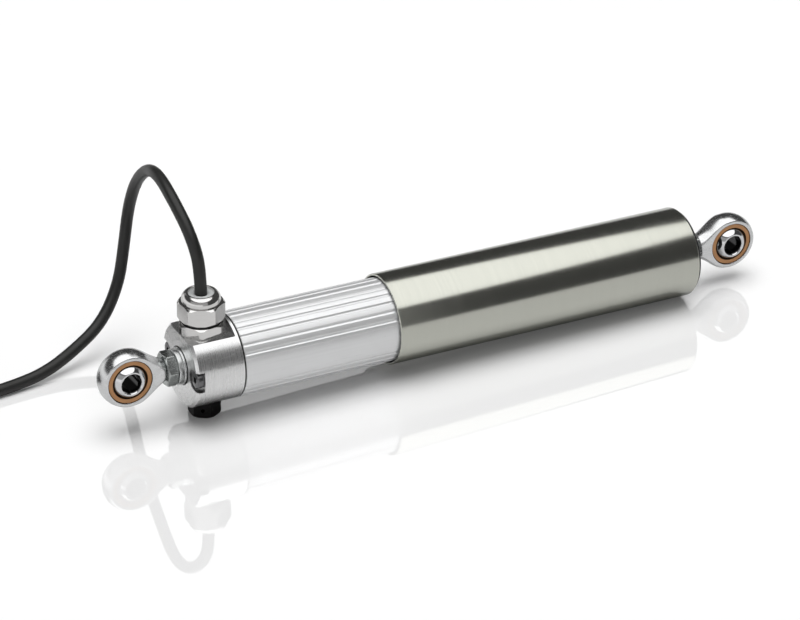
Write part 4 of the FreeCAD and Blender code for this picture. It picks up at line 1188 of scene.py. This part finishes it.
class TRANSDUCER_OT_end_cap(bpy.types.Operator):
    """Finish the turned cap and its gasket"""
    bl_idname = "transducer.end_cap"
    bl_label = "End cap"

    def execute(self, context):
        edge = context.scene.transducer_sizes.edge
        softened("cap", "end_cap", "cap", edge)
        low, high = span_mm("cap_gasket", "X")
        turned_piece("cap_seal_ring", band(low, high, inner=10.8, outer=17.42,
                                           outer_fillet=0.1),
                     "rubber", "housing", "gasket_rubber", ["cap_gasket"])
        return {"FINISHED"}


def two_sides(graph, offset, x=0.0):
    """Two points, one each side of the X axis."""
    return graph.value("GeometryNodeMeshLine", {
        "Count": 2, "Start Location": graph.vector(x, -offset),
        "Offset": graph.vector(0.0, offset * 2.0),
    })


def screw_tree():
    """Repeats one screw at two places, one each side of the axis, at both ends."""
    graph, given, last = geometry_tree("screw pairs", [
        ("Offset", "value", 13.3 * MM), ("Back Seat", "value", 27.0 * MM),
        ("Front Seat", "value", 175.2 * MM),
    ])
    pairs = []
    for seat, turn in (("Back Seat", 0.0), ("Front Seat", math.pi)):
        pairs.append(graph.value("GeometryNodeInstanceOnPoints", {
            "Points": two_sides(graph, given["Offset"], given[seat]),
            "Instance": given["Geometry"], "Rotation": Euler((0.0, 0.0, turn)),
        }))
    graph.end(last, graph.join(*pairs), given["Material"])
    return graph.tree


class TRANSDUCER_OT_screws(bpy.types.Operator):
    """Repeat one low-head socket screw at the cap and at the flange"""
    bl_idname = "transducer.screws"
    bl_label = "Screws"

    # The screw's radii and lengths and those of its key hole, in millimetres
    shank, shank_end, head, head_height = 1.98, 28.0, 3.5, 2.8
    key_across, key_reach, key_rim, key_lead_in = 2.5, 1.41, 1.7, 0.12
    key_floor, key_tip = -1.2, -1.0

    def execute(self, context):
        low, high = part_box("cap_screws")
        front = span("front_screws", "X")[1]
        bake("socket_screws", screw_tree(), {
            "Offset": high[1] - self.head * MM, "Back Seat": low[0] + self.head_height * MM,
            "Front Seat": front - self.head_height * MM,
        }, "screw", "housing", ["cap_screws", "front_screws"],
            source=self.screw())
        return {"FINISHED"}

    def screw(self):
        """One screw along the X axis, its head's seat at the origin."""
        hexagon = Hexagon(self.key_across, math.radians(15), self.key_reach)

        def key_hole(along, wider=0.0):
            """A row of the key hole."""
            return lambda turn: (along, wider + hexagon.reach(turn))

        top = -self.head_height
        outline = rounded([
            (self.shank_end, 0.0, 0), (self.shank_end, self.shank, 0.3), (0.0, self.shank, 0),
            (0.0, self.head, 0.1), (top, self.head, 0.45), (top, self.key_rim, 0),
        ])
        hole = [key_hole(top, self.key_lead_in), key_hole(top + self.key_lead_in),
                key_hole(self.key_floor), (self.key_tip, 0.0)]
        mesh = bmesh.new()
        ring_mesh(mesh, [*outline, *hole], hexagon.turns())
        clean(mesh)
        return smooth_data("socket_screw", mesh, 35)


class TRANSDUCER_OT_gland(bpy.types.Operator):
    """Make the cable gland: hexagon, sealing ring, domed cap nut and insert"""
    bl_idname = "transducer.gland"
    bl_label = "Cable gland"

    def execute(self, context):
        sizes = context.scene.transducer_sizes
        across, limit = sizes.gland_across / MM, sizes.gland_corner / MM
        centre = (middle_of("gland_nut"), 0.0, 0.0)
        self.body(Hexagon(across, sizes.gland_turn, limit), centre)
        self.cap_nut(Hexagon(across, sizes.gland_turn + math.radians(30), limit), centre)
        low, high = span_mm("gland_o_ring", "Z")
        turned_piece("gland_ring", band(low, high, inner=6.6, outer=8.1, outer_fillet=0.33),
                     "rubber", "housing", "gasket_rubber", ["gland_o_ring"], "Z", centre)
        foot, top = span_mm("gland_seal", "Z")
        turned_piece("gland_insert", [
            (foot, 2.55, 0), (foot, 6.4, 0.2), (foot + 1.8, 6.4, 0.2), (top - 2.5, 5.18, 0.2),
            (top - 0.1, 5.18, 0.5), (top, 3.3, 0.6), (top - 0.5, 2.55, 0.2),
        ], "insert", "housing", "seal_elastomer", ["gland_seal"], "Z", centre, 128)
        return {"FINISHED"}

    def body(self, hexagon, centre):
        """The lower hexagon on its threaded neck."""
        foot, neck = span_mm("gland_body", "Z")
        seat = span_mm("gland_o_ring", "Z")[0]
        bore, thread, collar, height, collar_start = 4.0, 5.98, 6.58, 4.8, 2.0
        base = seat - height
        step = base + collar_start
        mesh = bmesh.new()
        rows = hexagon.rows(base, seat, bore, face=hexagon.across / 2 + 0.1, slope=0.9)
        ring_mesh(mesh, rows, hexagon.turns(), "Z", centre)
        tube = rounded([(foot, bore, 0), (foot, thread, 0.4), (step, thread, 0),
                        (step, collar, 0), (neck, collar, 0.2), (neck, bore, 0.2)])
        ring_mesh(mesh, tube, even_turns(96), "Z", centre)
        clean(mesh)
        piece = add_piece("gland_hexagon", mesh, "nickel", "housing",
                          ["gland_body"], 30.0)
        bevel(piece, 0.22 * MM, 3)

    def cap_nut(self, hexagon, centre):
        """The cap nut: a hexagon on a round skirt that ends in a dome."""
        foot, top = span_mm("gland_nut", "Z")
        # Radii of the skirt, the dome's top, the mouth and the thread, and heights
        skirt, mouth, bore, thread = 8.05, 6.2, 5.2, 6.6
        skirt_height, bore_depth, cone_depth, hexagon_height = 8.5, 2.7, 4.1, 7.8
        shoulder = foot + skirt_height
        rise, drop = top - shoulder, skirt - mouth
        dome = (rise * rise + drop * drop) / (2 * drop)
        end = math.asin(rise / dome)
        turns = [end * step / 14 for step in range(14)]
        arc = [(shoulder + dome * math.sin(turn), skirt - dome * (1 - math.cos(turn)))
               for turn in turns]
        lower = rounded([(foot, thread, 0), (foot, skirt, 0.25), (shoulder, skirt, 0)])
        upper = rounded([(shoulder, skirt, 0), (top, mouth, 0.45), (top, bore, 0.35),
                         (top - bore_depth, bore, 0), (top - cone_depth, thread, 0)], 6)
        mesh = bmesh.new()
        ring_mesh(mesh, [*lower[:-1], *arc, *upper[1:]], even_turns(192), "Z", centre)
        rows = hexagon.rows(foot + 0.4, foot + hexagon_height, bore=7.2,
                            face=hexagon.across / 2 + 0.1, slope=1.0)
        ring_mesh(mesh, rows, hexagon.turns(), "Z", centre)
        clean(mesh)
        piece = add_piece("gland_cap_nut", mesh, "nickel", "housing",
                          ["gland_nut"], 30.0)
        bevel(piece, 0.18 * MM, 3)


class TRANSDUCER_OT_vent(bpy.types.Operator):
    """Finish the vent plug below the cap"""
    bl_idname = "transducer.vent"
    bl_label = "Vent plug"

    def execute(self, context):
        softened("vent_cap", "vent_plug", "plug", 0.2 * MM)
        return {"FINISHED"}


# The fluted tube, swept by a rule

def flute_depth(graph, given, turn):
    """How deep the flutes and the scribed line lie below the tube's radius at an angle."""
    radius, pitch, bowl_radius = given["Radius"], given["Pitch"], given["Flute Radius"]
    half = pitch / 2.0

    def off_flute(ahead, margin):
        """Angle to the nearest flute of a row, and more than a turn outside the row."""
        count = graph.math("FLOOR", (math.pi - margin * 2.0) / pitch + 0.001)
        nearest = graph.math("FLOORED_MODULO", ahead + half, pitch) - half
        before = graph.math("LESS_THAN", ahead + half, 0.0)
        after = graph.math("GREATER_THAN", ahead, count * pitch + half)
        return abs(nearest) + (before + after)

    upper = off_flute((math.pi - given["First"]) - turn, given["First"])
    under = off_flute(turn - (given["Low"] + math.pi), given["Low"])
    aside = graph.least(upper, under) * radius
    room = bowl_radius * bowl_radius - aside * aside
    bowl = graph.math("SQRT", graph.most(room, 0.0)) - (bowl_radius - given["Flute Depth"])
    flutes = graph.math("SMOOTH_MAX", bowl, 0.0, given["Lip"])
    border = abs((math.pi - given["Border"]) - turn)
    return graph.most(flutes, given["Scribe"] - border * radius)


def screw_ports(graph, given):
    """Two bored ports along the inside of the tube, one each side."""
    path = graph.value("GeometryNodeCurvePrimitiveLine", {
        "Start": graph.vector(given["Back"]), "End": graph.vector(given["Front"]),
    })
    walls = []
    for width in (given["Port Radius"], given["Thread Radius"]):
        section = graph.value("GeometryNodeCurvePrimitiveCircle", {
            "Resolution": 48, "Radius": width,
        })
        walls.append(graph.value("GeometryNodeCurveToMesh", {
            "Curve": path, "Profile Curve": section, "Fill Caps": True,
        }))
    bored = graph.value("GeometryNodeMeshBoolean", {"Mesh 1": walls[0], "Mesh 2": walls[1]},
                        operation="DIFFERENCE")
    return graph.value("GeometryNodeInstanceOnPoints", {
        "Points": two_sides(graph, given["Port Offset"]), "Instance": bored,
    })


def tube_tree():
    """A tube with flutes round it but for a window each side, and two screw ports inside."""
    sizes = {"Back": 44.5, "Front": 171.5, "Radius": 17.5, "Wall": 3.0, "Edge": 0.25,
             "Flute Radius": 1.0, "Flute Depth": 0.35, "Lip": 0.22, "Scribe": 0.09,
             "Port Offset": 13.3, "Port Radius": 3.8, "Thread Radius": 2.0}
    angles = {"Pitch": 12.0, "First": 26.5, "Low": 24.0, "Border": 19.5}
    graph, given, last = geometry_tree("fluted tube", [
        ("Steps", "count", 1800),
        *((name, "value", size * MM) for name, size in sizes.items()),
        *((name, "value", math.radians(size)) for name, size in angles.items()),
    ])
    back, front, radius, edge = (given[name] for name in ("Back", "Front", "Radius", "Edge"))
    inner = radius - given["Wall"]
    broken = radius - edge
    middle = (back + front) * 0.5
    # The section of the wall as (along, radius), from the back round to the back again
    section = [(back, inner), (back, broken), (back + edge, radius), (middle, radius),
               (front - edge, radius), (front, broken), (front, inner), (middle, inner),
               (back, inner)]
    grid = graph.value("GeometryNodeMeshGrid", {
        "Size X": 1.0, "Size Y": 1.0, "Vertices X": given["Steps"] + 1.0,
        "Vertices Y": len(section),
    })
    x, y, _ = graph.split(graph.value("GeometryNodeInputPosition"))
    turn = (x + 0.5) * (2 * math.pi)
    row = graph.math("ROUND", (y + 0.5) * (len(section) - 1.0))
    along, out = (graph.pick(row, column) for column in zip(*section))
    outside = graph.math("GREATER_THAN", out, inner + edge * 0.5)
    out = out - flute_depth(graph, given, turn) * outside
    place = graph.vector(along, out * graph.math("COSINE", turn),
                         out * graph.math("SINE", turn))
    wall = graph.value("GeometryNodeSetPosition", {"Geometry": grid, "Position": place})
    wall = graph.value("GeometryNodeMergeByDistance", {
        "Geometry": wall, "Distance": 0.002 * MM,
    })
    graph.end(last, graph.join(screw_ports(graph, given), wall), given["Material"])
    return graph.tree


class TRANSDUCER_OT_tube(bpy.types.Operator):
    """Sweep the fluted tube with its screw ports"""
    bl_idname = "transducer.tube"
    bl_label = "Fluted tube"

    def execute(self, context):
        sizes = context.scene.transducer_sizes
        low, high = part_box("profile_tube")
        piece = bake("fluted_tube", tube_tree(), {
            "Back": low[0], "Front": high[0], "Radius": (high[1] - low[1]) / 2,
            "Steps": sizes.tube_steps, "Flute Radius": sizes.flute_radius,
            "Flute Depth": sizes.flute_depth, "Lip": sizes.flute_lip,
            "Pitch": sizes.flute_pitch, "First": sizes.flute_first, "Low": sizes.flute_low,
            "Border": sizes.window_border,
        }, "tube", "housing", ["profile_tube"])
        mesh = bmesh.new()
        mesh.from_mesh(piece.data)
        bmesh.ops.recalc_face_normals(mesh, faces=mesh.faces)
        mesh.to_mesh(piece.data)
        mesh.free()
        piece.data.shade_smooth()
        piece.data.set_sharp_from_angle(angle=math.radians(35))
        return {"FINISHED"}


class TRANSDUCER_OT_sleeve(bpy.types.Operator):
    """Turn the protective sleeve and the hub that carries it"""
    bl_idname = "transducer.sleeve"
    bl_label = "Sleeve and hub"

    def execute(self, context):
        start, end = span_mm("protective_sleeve", "X")
        outer = span_mm("protective_sleeve", "Y")[1]
        wall, fit, rod_bore = 1.0, 0.02, 5.42
        inner = outer - wall
        turned_piece("sleeve", [
            (start, inner, 0.45), (start, outer, 0.35), (end, outer, 0.35),
            (end, inner, 0.15),
        ], "sleeve", "rod", "sleeve_steel", ["protective_sleeve"], count=256, steps=5)
        back, face = span_mm("sleeve_hub", "X")
        turned_piece("hub", [
            (back, rod_bore, 0), (back, inner - fit, 0.2), (face, inner - fit, 0.5),
            (face, rod_bore, 0.1),
        ], "hub", "rod", "hub_aluminium", ["sleeve_hub"], count=256)
        return {"FINISHED"}


class TRANSDUCER_OT_inner_parts(bpy.types.Operator):
    """Finish what lies inside: flange, guide, rod, track board, wiper and leads"""
    bl_idname = "transducer.inner_parts"
    bl_label = "Inner parts"

    looks = {
        "front_gasket": "rubber", "rod_bush": "bush", "rod_wiper": "wiper ring",
        "push_rod": "rod", "resistance_board": "board", "terminal_pins": "pins",
        "signal_leads": "leads", "wiper_carriage": "carriage", "wiper_brush": "brush",
        "vent_seal": "rubber", "vent_membrane": "membrane",
    }

    def execute(self, context):
        softened("flange", "front_flange", "flange", 0.15 * MM)
        for node, finish_name in self.looks.items():
            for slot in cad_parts[node].material_slots:
                slot.material = FINISHES[finish_name]
        return {"FINISHED"}


# The stage

WHITE = (1.0, 1.0, 1.0, 1.0)

# The camera, fitted to the outlines of cap, tube, sleeve and eyes
CAMERA_PLACE = Vector((-0.46447, -1.13078, 0.70571))
CAMERA_TARGET = Vector((0.12142, 0.0, 0.00225))
CAMERA_ROLL = math.radians(1.146)
CAMERA_LENS = 159.9


def floor_material(tone):
    """A pale floor with a faint mirror in it, dimmer where metal mirrors it."""
    material = bpy.data.materials.new("pale glossy floor")
    material.use_nodes = True
    material.node_tree.nodes.clear()
    graph = Graph(material.node_tree)
    rays = graph.values("ShaderNodeLightPath")
    where = graph.value("ShaderNodeTexCoord", output="Object")
    cloud = graph.spread(graph.noise(where, 3.0, 2.0), 0.3, 0.7, 0.0, 0.03)
    shade = graph.blend(cloud, tone, (0.5, 0.5, 0.5))
    # How much darker the floor is in metal, and in a mirror image within another
    dim_once, dim_again = 0.38, 0.85
    again = graph.math("GREATER_THAN", rays["Ray Depth"], 1.5)
    dimmed = rays["Is Glossy Ray"] * graph.spread(again, 0.0, 1.0, dim_once, dim_again)
    matt = graph.value("ShaderNodeBsdfDiffuse", {
        "Color": graph.blend(dimmed, shade, (0.0, 0.0, 0.0)),
    })
    mirrored = 0.20
    gloss = graph.value("ShaderNodeBsdfGlossy", {
        "Color": (mirrored, mirrored, mirrored, 1.0), "Roughness": 0.0,
    })
    # A faint glow that brings the floor to white behind the object
    glow, glow_in_metal = 0.06, 0.15
    seen = rays["Is Camera Ray"] + rays["Is Glossy Ray"] * glow_in_metal
    seen = graph.least(seen + rays["Is Transmission Ray"], 1.0)
    light = graph.value("ShaderNodeEmission", {"Color": WHITE, "Strength": seen * glow})
    both = graph.value("ShaderNodeAddShader", {0: matt, 1: gloss})
    graph.add("ShaderNodeOutputMaterial", {
        0: graph.value("ShaderNodeAddShader", {0: both, 1: light}),
    })
    return material


def studio_world():
    """A dark room with a light box overhead and pale walls, which the metal mirrors; it
    lights matt surfaces less, and is white behind the object."""
    world = bpy.data.worlds.new("studio light")
    world.use_nodes = True
    world.node_tree.nodes.clear()
    graph = Graph(world.node_tree)
    x, y, height = graph.split(graph.value("ShaderNodeTexCoord", output="Generated"))
    rays = graph.values("ShaderNodeLightPath")
    # Brightness of the dark ceiling, the light box, the floor's edge and the two walls
    ceiling, box_light, edge_light, front_light, back_light = 0.02, 1.4, 0.45, 0.3, 0.8
    box = graph.spread(height - y * 0.07, 0.742, 0.768, ceiling, box_light, smooth=True)
    edge = graph.spread(height, -0.05, 0.02, edge_light, 0.0, smooth=True)
    front = (graph.spread(x, 0.20, 0.30, front_light, 0.0)
             * graph.spread(y, -0.1, 0.1, 1.0, 0.0)
             * graph.spread(height, 0.60, 0.70, 1.0, 0.0))
    behind = (graph.spread(x, -0.3, -0.1, back_light, 0.0)
              * graph.spread(height, 0.20, 0.34, 1.0, 0.0))
    walls = graph.most(edge, graph.most(front, behind))
    matt_share, metal_share = 0.42, 0.04
    strength = (box + walls) * graph.spread(rays["Is Diffuse Ray"], 0.0, 1.0, 1.0, matt_share)
    plain = graph.most(rays["Is Camera Ray"], rays["Is Singular Ray"])
    plain = graph.most(plain, rays["Is Transmission Ray"])
    plain = graph.most(plain, rays["Is Glossy Ray"] * metal_share)
    studio = graph.value("ShaderNodeBackground", {"Color": WHITE, "Strength": strength})
    white = graph.value("ShaderNodeBackground", {"Color": WHITE, "Strength": 1.0})
    graph.add("ShaderNodeOutputWorld", {
        0: graph.value("ShaderNodeMixShader", {0: plain, 1: studio, 2: white}),
    })
    return world


class TRANSDUCER_OT_stage(bpy.types.Operator):
    """Set the floor, the studio light and the camera"""
    bl_idname = "transducer.stage"
    bl_label = "Stage"

    def execute(self, context):
        self.floor(context)
        context.scene.world = studio_world()
        self.lamp(context)
        self.camera(context)
        context.scene.view_settings.view_transform = "Standard"
        return {"FINISHED"}

    def floor(self, context, gap=0.05 * MM):
        """The resting surface, a little below what stands on it."""
        low, slope = surface()
        left, right, near, far = -4, 4, -4, 5
        corners = [(x, y, low + slope * (x - SURFACE_START) - gap)
                   for x, y in ((left, near), (right, near), (right, far), (left, far))]
        data = bpy.data.meshes.new("studio_floor")
        data.from_pydata(corners, [], [(0, 1, 2, 3)])
        data.materials.append(floor_material(tuple(context.scene.transducer_finishes.floor)))
        floor = bpy.data.objects.new("studio_floor", data)
        context.scene.collection.objects.link(floor)

    def lamp(self, context):
        """One wide overhead lamp that draws the soft shadow on the floor."""
        data = bpy.data.lights.new("overhead lamp", "SUN")
        data.energy = 2.05
        data.angle = math.radians(50)
        lamp = bpy.data.objects.new("overhead_lamp", data)
        lamp.visible_glossy = False
        context.scene.collection.objects.link(lamp)

    def camera(self, context):
        """The camera looks at its target and is rolled a little."""
        data = bpy.data.cameras.new("camera")
        data.lens = CAMERA_LENS
        data.sensor_width = 36.0
        data.clip_end = 20.0
        camera = bpy.data.objects.new("camera", data)
        context.scene.collection.objects.link(camera)
        back = (CAMERA_PLACE - CAMERA_TARGET).normalized()
        right = Vector((0, 0, 1)).cross(back).normalized()
        up = back.cross(right)
        turned = math.cos(CAMERA_ROLL) * right + math.sin(CAMERA_ROLL) * up
        above = math.cos(CAMERA_ROLL) * up - math.sin(CAMERA_ROLL) * right
        rotation = Matrix((turned, above, back)).transposed().to_4x4()
        camera.matrix_world = Matrix.Translation(CAMERA_PLACE) @ rotation
        context.scene.camera = camera


# The panel, and what runs when the file is run

OPERATORS = (
    TRANSDUCER_OT_finishes,
    TRANSDUCER_OT_cable,
    TRANSDUCER_OT_cable_end,
    TRANSDUCER_OT_rod_ends,
    TRANSDUCER_OT_bearings,
    TRANSDUCER_OT_lock_parts,
    TRANSDUCER_OT_end_cap,
    TRANSDUCER_OT_screws,
    TRANSDUCER_OT_gland,
    TRANSDUCER_OT_vent,
    TRANSDUCER_OT_tube,
    TRANSDUCER_OT_sleeve,
    TRANSDUCER_OT_inner_parts,
    TRANSDUCER_OT_stage,
)


class TRANSDUCER_PT_panel(bpy.types.Panel):
    """Lists the pieces of the transducer and what may be changed on them"""
    bl_idname = "TRANSDUCER_PT_panel"
    bl_label = "Linear transducer"
    bl_space_type = "VIEW_3D"
    bl_region_type = "UI"
    bl_category = "Transducer"

    def draw(self, context):
        layout = self.layout
        for title, group in (("Sizes", context.scene.transducer_sizes),
                             ("Finishes", context.scene.transducer_finishes)):
            box = layout.box()
            box.label(text=title)
            for name in group.bl_rna.properties.keys():
                if name not in ("rna_type", "name"):
                    box.prop(group, name)
        box = layout.box()
        box.label(text="Pieces")
        for operator in OPERATORS:
            box.operator(operator.bl_idname, text=operator.bl_label)


CLASSES = (TransducerSizes, TransducerFinishes, *OPERATORS, TRANSDUCER_PT_panel)


def register():
    """Adds the classes and the two groups of properties."""
    for item in CLASSES:
        bpy.utils.register_class(item)
    bpy.types.Scene.transducer_sizes = PointerProperty(type=TransducerSizes)
    bpy.types.Scene.transducer_finishes = PointerProperty(type=TransducerFinishes)


def unregister():
    """Takes the classes and the properties away again."""
    del bpy.types.Scene.transducer_finishes
    del bpy.types.Scene.transducer_sizes
    for item in reversed(CLASSES):
        bpy.utils.unregister_class(item)


def main():
    """Makes every piece and the stage."""
    register()
    for operator in OPERATORS:
        group, name = operator.bl_idname.split(".")
        getattr(getattr(bpy.ops, group), name)()


if __name__ == "__main__":
    main()
